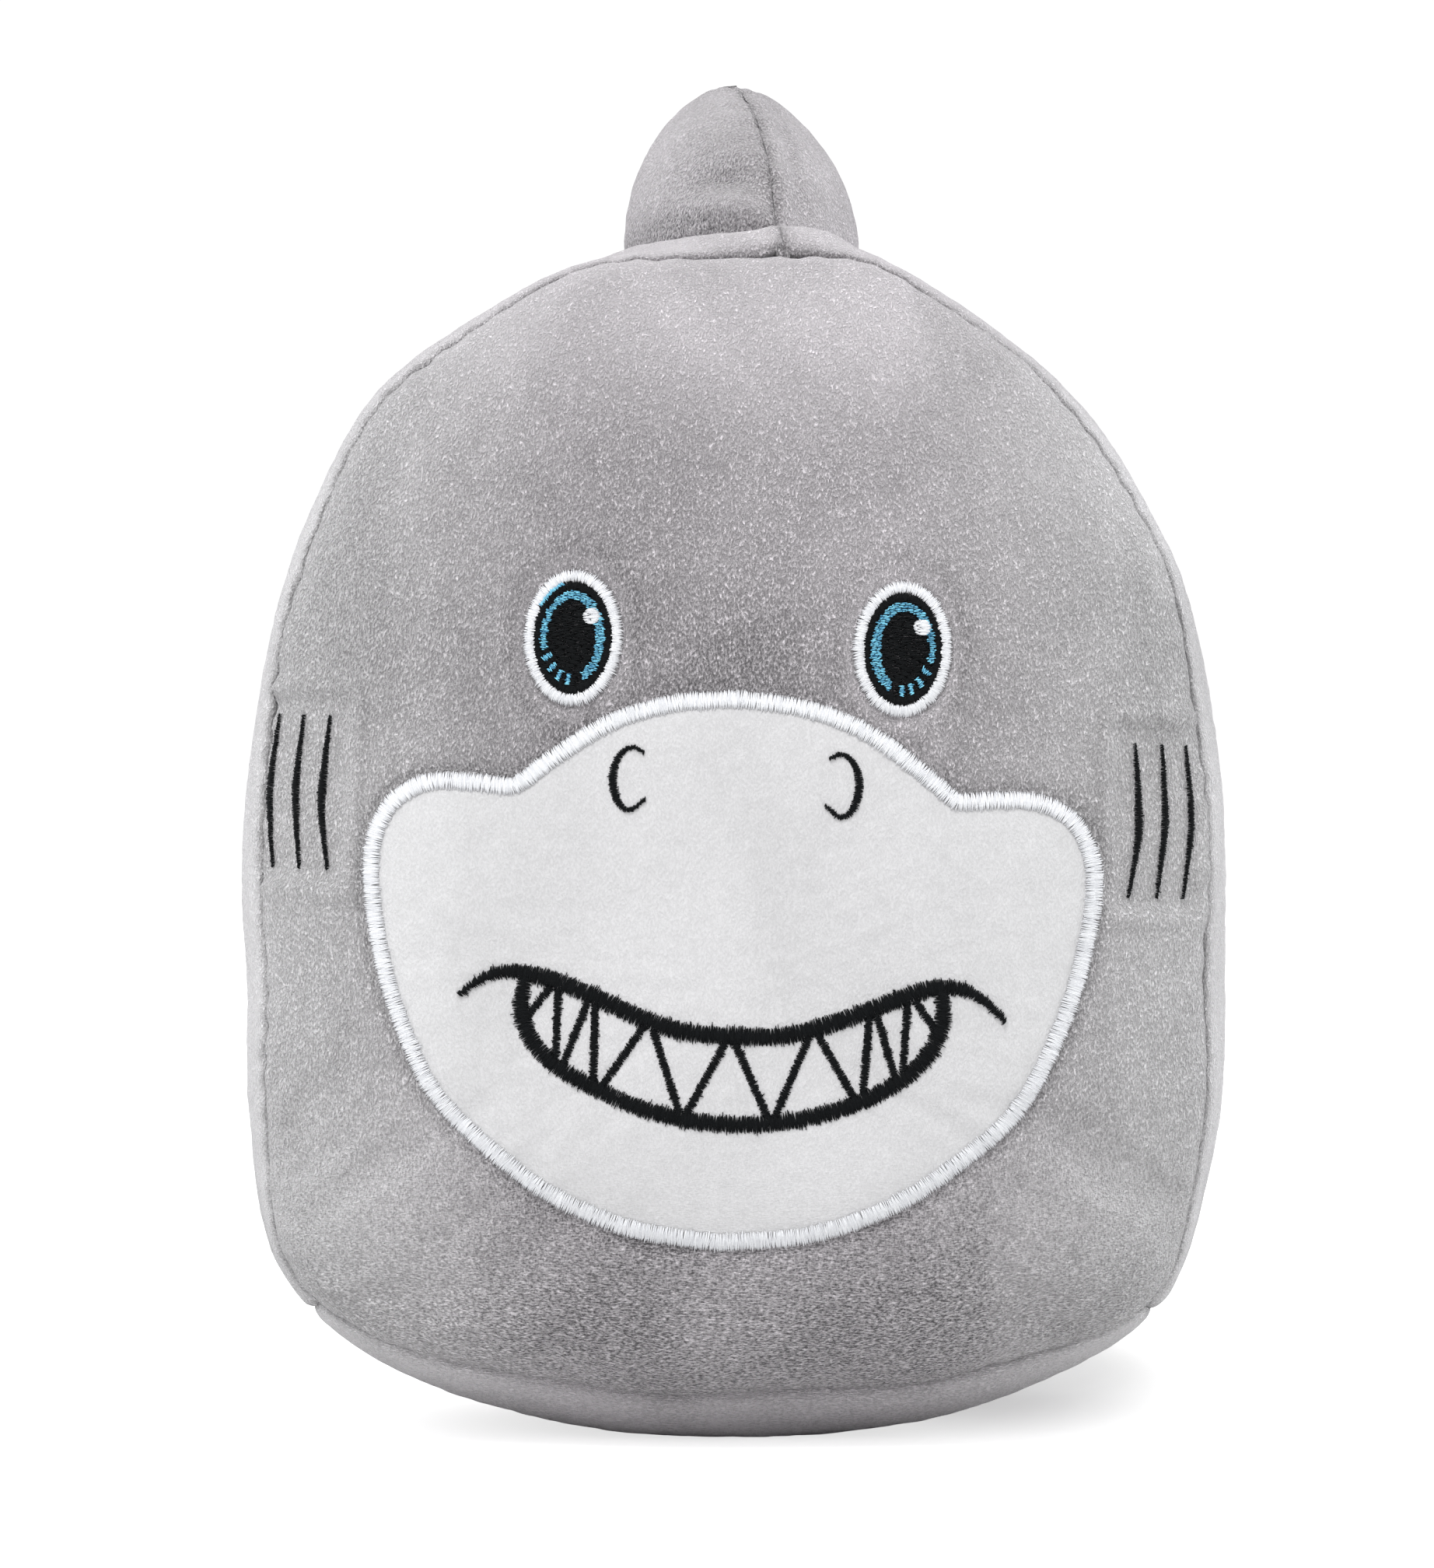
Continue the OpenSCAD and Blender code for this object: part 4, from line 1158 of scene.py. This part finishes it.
def eye(word, side):
    """A white ring, a black ground, a blue iris that breaks up into dashes, and a white glint."""
    middle = np.array([side * EYE_AT[0] + EYES_SHIFT, EYE_AT[1]])
    low, high = middle - EYE_BLACK, middle + EYE_BLACK
    oval = np.stack(heading(np.arange(0, 360, 3)), -1)
    strands("satin_eye_ring_" + word, "eye_ring_" + word, "thread_white", 0.10, 0.65, 0.145,
            satin(middle + oval * (EYE_RING + EYE_BLACK) / 2, 2.4, 0.21, 101 + side, True, 0.26))

    def in_black(x, z):
        return np.hypot((x - middle[0]) / (EYE_BLACK[0] - 0.6), (z - middle[1]) / (EYE_BLACK[1] - 0.6)) < 1

    def in_iris(x, z):
        dx, dz = -side * (x - middle[0]), z - middle[1]
        hole = np.hypot((dx + IRIS_SHIFT) / IRIS_IN[0], dz / IRIS_IN[1]) > 1
        ring = (np.hypot(dx / IRIS_OUT[0], dz / IRIS_OUT[1]) < 1) & hole
        centre = (IRIS_OUT + IRIS_IN) / 2
        angle = np.degrees(np.arctan2(dz / centre[1], dx / centre[0]))
        angle = np.where(angle < -90, angle + 360, angle)
        return ring & (angle > IRIS_SPAN[0]) & (angle < IRIS_SPAN[1])

    def in_glint(x, z):
        return np.hypot(x - middle[0] - GLINT_AT[0], z - middle[1] - GLINT_AT[1]) < GLINT_R - 0.15

    def dash(angle):
        """One of the short blue strokes across the iris's ring."""
        way = np.array(heading(angle)) * (-side, 1)
        ends = np.array([middle + way * (IRIS_IN - 0.2), middle + way * (IRIS_OUT + 0.1)])
        return satin(ends, 0.78, 0.27, angle, ragged=0.2)

    strands("satin_eye_black_" + word, "eye_black_" + word, "thread_black", 0.28, 0.35, 0.16,
            rows_of_stitches(in_black, low, high, 0.25, 2.6, 111, 0.05),
            satin(middle + oval * (EYE_BLACK - 0.55), 1.3, 0.21, 112 + side, True, 0.36))
    blue = [rows_of_stitches(in_iris, low, high, 0.34, 1.3, 121 + side, side * 0.12, (-0.2, 0.45))]
    blue += [dash(angle) for angle in DASH_ANGLES[side]]
    if side < 0:
        slip = middle + np.stack(heading(np.arange(*SLIP_SPAN, 4)), -1) * (EYE_BLACK + 0.15)
        blue.append(satin(slip, 0.5, 0.25, 127, ragged=0.15))
    strands("satin_iris_" + word, "iris_" + word, "thread_blue", 0.62, 0.28, 0.13, *blue)
    strands("satin_glint_" + word, "eye_glint_" + word, "thread_white", 0.85, 0.35, 0.14,
            rows_of_stitches(in_glint, low, high, 0.21, 4.0, 131 + side))


border_in = across(MUZZLE, True) * (BORDER_W / 2)
border_line = MUZZLE - border_in
if from_border(border_line[:1, 0], border_line[:1, 1])[0] > 0:
    border_line = MUZZLE + border_in
strands("satin_muzzle_border", "muzzle_border", "thread_white", 0.18, 0.48, 0.155,
        satin(border_line, BORDER_W - 0.3, 0.23, 71, True, 0.26))
strands("satin_mouth_upper", "mouth_line_upper", "thread_black", 0.12, 0.60, 0.15,
        satin(on_mouth(curve(mirrored(MOUTH_HALF), 8)), tapered(3.1, 0.2, 0.14), PITCH, 72, ragged=0.36))
strands("satin_mouth_lower", "mouth_line_lower", "thread_black", 0.10, 0.55, 0.15,
        satin(on_mouth(curve(mirrored(JAW_HALF), 8)), tapered(2.95, 0.8, 0.05), PITCH, 73, ragged=0.36))
teeth = [satin(tooth(ends, side), 1.35, PITCH, 80 + k, ragged=0.2)
         for k, ends in enumerate(TOOTH_SIDES) for side in (-1, 1)]
strands("satin_teeth", "tooth_lines", "thread_black", 0.05, 0.45, 0.14, *teeth)
for word, side in SIDES:
    nostril(word, side)
    gills(word, side)
    eye(word, side)

# ---- the fin ----

FIN_GRID = (76, 120)
FIN_TUCK = (3.0, 2.0, 1.0)
FIN_FLARE = 0.055
FIN_FOLLOW = 14
FIN_NAP = 0.72
FIN_SHEET = 45
CREASE_RIGHT = (1.1, 0.42, 0.3, 6.5, 1.8)  # amount, height and its width, from the seam and its width
FOLDS_LEFT = [(1.8, 0.24, 0.05, 9, 10), (-2.2, 0.14, 0.045, 10, 9)]
# painted shade in the left side's hollow and crease and a painted highlight on its fold, with fold()'s columns:
# amount, height and its width, from the seam and its width
PAINTED_SHADES_LEFT = [(-0.4, 0.28, 0.2, 16, 14), (-0.6, 0.09, 0.05, 26, 14), (-0.3, 0.24, 0.05, 8, 9),
               (0.4, 0.15, 0.04, 8, 9)]
# painted shade along the left side's hem and a painted highlight along the right side's
PAINTED_SHADE_BY_HEM = {-1: -0.5, 1: 0.85}


def gusset_top(x, y):
    """Height of the gusset's top at x, y."""
    v = np.clip((y - MID_Y) / HALF_DEPTH, -1, 1)
    angle = np.full(np.shape(x), 90.0)
    for _ in range(4):
        r = gusset_reach(v, angle)
        angle = np.degrees(np.arccos(np.clip(x / r, -1, 1)))
    return polar(r, angle)[1]


def fin_surface(side, shrink=0.0):
    """One side of the fin; rows go up from the hem and columns from the leading to the trailing seam."""
    rows, cols = FIN_GRID
    head = gusset_top(np.array([FIN_X]), np.array([FIN_Y]))[0]
    tall = FIN_TOP - head - shrink
    up = np.concatenate([-np.array(FIN_TUCK), tall * np.sin(np.pi / 2 * np.linspace(0, 1, rows))])[:, None]
    tau = np.clip(up / tall, 0, 1)
    fore = np.sin(np.pi / 2 * np.linspace(-1, 1, cols)[None, :])
    spread = (1 - tau**2) ** (1 / FIN_POWER)
    run = FIN_RAKE * tau**1.2 + (FIN_HALF_L - shrink) * spread * fore
    full = np.maximum(0, (1 - tau**2) * (1 - np.abs(fore) ** FIN_POWER))
    wide = (FIN_HALF_T - shrink) * full**CROWN_POWER * (1 + FIN_FLARE * bell(up, 16))
    out_w = side * wide * np.where(up < 0, 1 + up * 0.035, 1)
    x = FIN_X - run * math.sin(FIN_TURN) + out_w * math.cos(FIN_TURN)
    y = FIN_Y + run * math.cos(FIN_TURN) + out_w * math.sin(FIN_TURN)
    follow = np.clip(1 - up / FIN_FOLLOW, 0, 1)
    z = head + up + (gusset_top(x, y) - head) * follow**1.3
    return np.stack([x, y, z], -1)


def fold(height, columns, amount, at, tall, beside, wide):
    """A smooth rise or hollow around one height and one distance from the leading seam."""
    return amount * bell(columns - beside, wide) * bell(height - at, tall)


def fin_side(word, side):
    """One side's cloth: puckered at its seams and hem, with a fold at the left and a crease at the right."""
    grid = fin_surface(side)
    centre = (FIN_X, FIN_Y, FIN_TOP - FIN_SHEET)
    out = outward(grid, False, centre)
    columns = column_distance(grid)
    from_seam = np.minimum(columns, columns[:, -1:] - columns)
    height = np.linspace(0, 1, len(grid))[:, None]
    share = np.linspace(0, 1, grid.shape[1])[None, :]
    low = np.exp(-np.maximum(0, height - 0.05) / 0.14)
    pull = 1.3 * np.exp(-from_seam / 2.0) + 0.4 * ripple(height, 4, 12, 141 + side) * bell(from_seam - 3, 6)
    if side > 0:
        pull = pull + fold(height, columns, *CREASE_RIGHT)
    pull = pull + 0.9 * ripple(share, 3, 8, 151 + side) * low * (1 - np.exp(-from_seam / 6))
    pull = pull + 1.2 * bell(height, 0.05)
    # painted shade along the seams, and the painted shade and highlights listed above
    nap_and_painted_light = FIN_NAP - 1.1 * np.exp(-from_seam) + PAINTED_SHADE_BY_HEM[side] * bell(height, 0.10)
    if side < 0:
        pull = pull + sum(fold(height, columns, *f) for f in FOLDS_LEFT) * (1 - bell(from_seam, 4))
        nap_and_painted_light = nap_and_painted_light + sum(fold(height, columns, *f) for f in PAINTED_SHADES_LEFT)
    grid = grid - out * pull[..., None] + tufted(grid, out)
    made = sewn("plush_fin_" + word, grid, grid_faces(*grid.shape[:2], False), GREY, centre, CLOTH_T)
    return store_pile_and_light(made, nap_and_painted_light)


def place_fin(piece, node):
    """Bakes a fin piece's placing into its points and hides the CAD part it stands in for; the piece is
    attached to no body.
    """
    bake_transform(piece)
    place(piece, [node], body=None)


for word, side in SIDES:
    place_fin(fin_side(word, side), "fin_panel_" + word)

# ---- inside ----

FILL_INSET, FIN_FILL_INSET = 5.5, 3.2
FILL_FLOOR = 2.6
FELT_INSET, FELT_T = 3.0, 0.4


def lumps(points, size, seed):
    """How far soft lumps of stuffing stand out at points."""
    rng = np.random.default_rng(seed)
    total = np.zeros(points.shape[:-1])
    for _ in range(10):
        wave = rng.normal(0, 1 / size, 3)
        total += np.sin(points @ wave + rng.random() * 6.28)
    return total / 5


def stuffing():
    """The fibre fill inside the body, a little smaller than the cloth."""
    rings = (RINGS + WRINKLES)[:, ::2]
    out = outward(rings, True, CENTRE)
    out[0], out[-1] = (0, -1, 0), (0, 1, 0)
    filled = rings - out * (FILL_INSET + lumps(rings, 14, 7))[..., None]
    filled = filled + (CENTRE - filled) * 0.012
    filled[..., 2] = np.maximum(filled[..., 2], FILL_FLOOR)
    return sewn("body_stuffing", *ball(filled), FIBRE, CENTRE)


def fin_stuffing():
    """The fibre fill inside the fin, closed below."""
    left, right = (fin_surface(side, FIN_FILL_INSET)[::3, ::4] for side in (-1, 1))
    ring = np.concatenate([left, right[:, -2:0:-1]], 1)
    ring[..., 2] -= 1.5
    hem = np.broadcast_to(ring[0].mean(0), ring[:1].shape)
    return sewn("fin_stuffing", *ball(np.concatenate([hem, ring])), FIBRE, (FIN_X, FIN_Y, FIN_TOP - 22))


def backing(name, loop, centre, node, rows=10):
    """A sheet of thin felt just behind the face's cloth."""
    centre = np.array(centre, float)
    s = np.linspace(0, 1, rows)[:, None, None]
    spots, outs = face_ground.under(turned(centre + s * (np.asarray(loop) - centre)))
    grid = spots - outs * FELT_INSET
    made = sewn(name, disc_points(grid), disc_faces(*grid.shape[:2]), BACKING, CENTRE, FELT_T)
    place(made, [node])


place(stuffing(), ["body_filling"])
place_fin(fin_stuffing(), "fin_filling")
FACE_BACKING = [(0, 196), (38, 195), (60, 176), (74, 148), (77, 120), (66, 82), (45, 54)]
backing("felt_face", curve(mirrored(FACE_BACKING) + [(0, 44)], 6, True), (0, 118), "face_backing")
for word, side in SIDES:
    corners = np.array([(81.5, 121), (97, 121), (97, 159), (81.5, 159)]) * (side, 1)
    loop = even(corners, 4, closed=True)
    backing("felt_gill_" + word, loop, (side * 89, 140), "gill_backing_" + word, rows=5)

# ---- studio ----

CAMERA_AT = (-0.0036, MID_Y * MM - 1.150, 0.1442)
SENSOR_MM, LENS_MM = 36, 116.678571
FLOOR_HALF = 6.0
FLOOR_BOUNCE = 0.85
# painted shadow: the floor's glow, seen only by the camera, fades near SHADED_SPOT, behind the body and to its
# right, so the floor shows darker there
GLOW_NEAR, GLOW_FAR = 0.10, 0.7
SHADED_SPOT = (0.070, 0.045, 0.0)
SHADED_STRETCH = (1, 0.38, 1)
SHADED_IN, SHADED_OUT = 0.015, 0.062
SIDE_COLOUR = (0.97, 0.985, 1)


def camera():
    """The camera, level and square to the front."""
    data = bpy.data.cameras.new("camera")
    data.sensor_width = SENSOR_MM
    data.lens = LENS_MM
    data.clip_start, data.clip_end = 0.05, 50
    made = in_scene("camera", data)
    made.location = CAMERA_AT
    made.rotation_euler = (math.radians(90), 0, 0)
    bpy.context.scene.camera = made


def area(name, at, towards, size, power, colour=(1, 1, 1)):
    """A round soft light."""
    data = bpy.data.lights.new(name, "AREA")
    data.shape = "DISK"
    data.size = size
    data.energy = power
    data.color = colour
    made = in_scene(name, data)
    made.location = at
    made.rotation_euler = (Vector(towards) - Vector(at)).to_track_quat("-Z", "Y").to_euler()
    return made


def floor():
    """A wide pale floor that shows white, with less light thrown back up than it shows; its glow for the camera
    fades near one spot, a painted shadow.
    """
    mesh = bpy.data.meshes.new("floor")
    corners = [(x * FLOOR_HALF, y * FLOOR_HALF, 0) for x, y in ((-1, -1), (1, -1), (1, 1), (-1, 1))]
    mesh.from_pydata(corners, [], [(0, 1, 2, 3)])
    made, tree, principled = shader("floor", Roughness=1.0, Specular_IOR_Level=0.0,
                                    Emission_Color=(1, 1, 1, 1))
    grain = noise(tree, place_coords(tree), 3, 2)
    shown = add(tree, "LightPath").outputs["Is Camera Ray"]
    near = mixed(tree, grain, (0.83, 0.83, 0.83), (0.85, 0.85, 0.85))
    tree.links.new(mixed(tree, shown, (FLOOR_BOUNCE,) * 3, near), principled.inputs["Base Color"])
    spot = {0: place_coords(tree, SHADED_STRETCH), 1: SHADED_SPOT}
    away = add(tree, "VectorMath", spot, operation="DISTANCE").outputs["Value"]
    glow = mapped(tree, away, SHADED_IN, SHADED_OUT, GLOW_NEAR, GLOW_FAR, interpolation_type="SMOOTHSTEP")
    tree.links.new(maths(tree, "MULTIPLY", shown, glow), principled.inputs["Emission Strength"])
    mesh.materials.append(made)
    made = in_scene("floor", mesh)
    return made


def world():
    """White to look at; as a light, brighter above than at the horizon."""
    made = bpy.data.worlds.new("studio")
    made.use_nodes = True
    tree = made.node_tree
    shown = add(tree, "LightPath").outputs["Is Camera Ray"]
    up = add(tree, "SeparateXYZ", {"Vector": add(tree, "TexCoord").outputs["Generated"]}).outputs["Z"]
    rise = mapped(tree, up, -0.1, 1.0, 0.62, 1.05)
    light = add(tree, "CombineColor", {0: rise, 1: rise, 2: rise}).outputs[0]
    colour = mixed(tree, shown, light, (1.05, 1.05, 1.05))
    tree.links.new(colour, tree.nodes["Background"].inputs["Color"])
    bpy.context.scene.world = made


def spare(light, thing):
    """Keeps a light off one thing."""
    spared = bpy.data.collections.new(light.name + "_spares")
    spared.objects.link(thing)
    spared.collection_objects[0].light_linking.link_state = "EXCLUDE"
    light.light_linking.receiver_collection = spared


camera()
ground = floor()
world()
area("key", (-0.42, -1.25, 1.9), (0, 0, 0.14), 0.9, 30)
spare(area("side_right", (1.3, 0.35, 0.6), (0.08, 0, 0.12), 1.0, 16, SIDE_COLOUR), ground)
spare(area("side_left", (-1.3, 0.35, 0.6), (-0.08, 0, 0.12), 1.0, 12, SIDE_COLOUR), ground)
bpy.context.scene.view_settings.view_transform = "Standard"
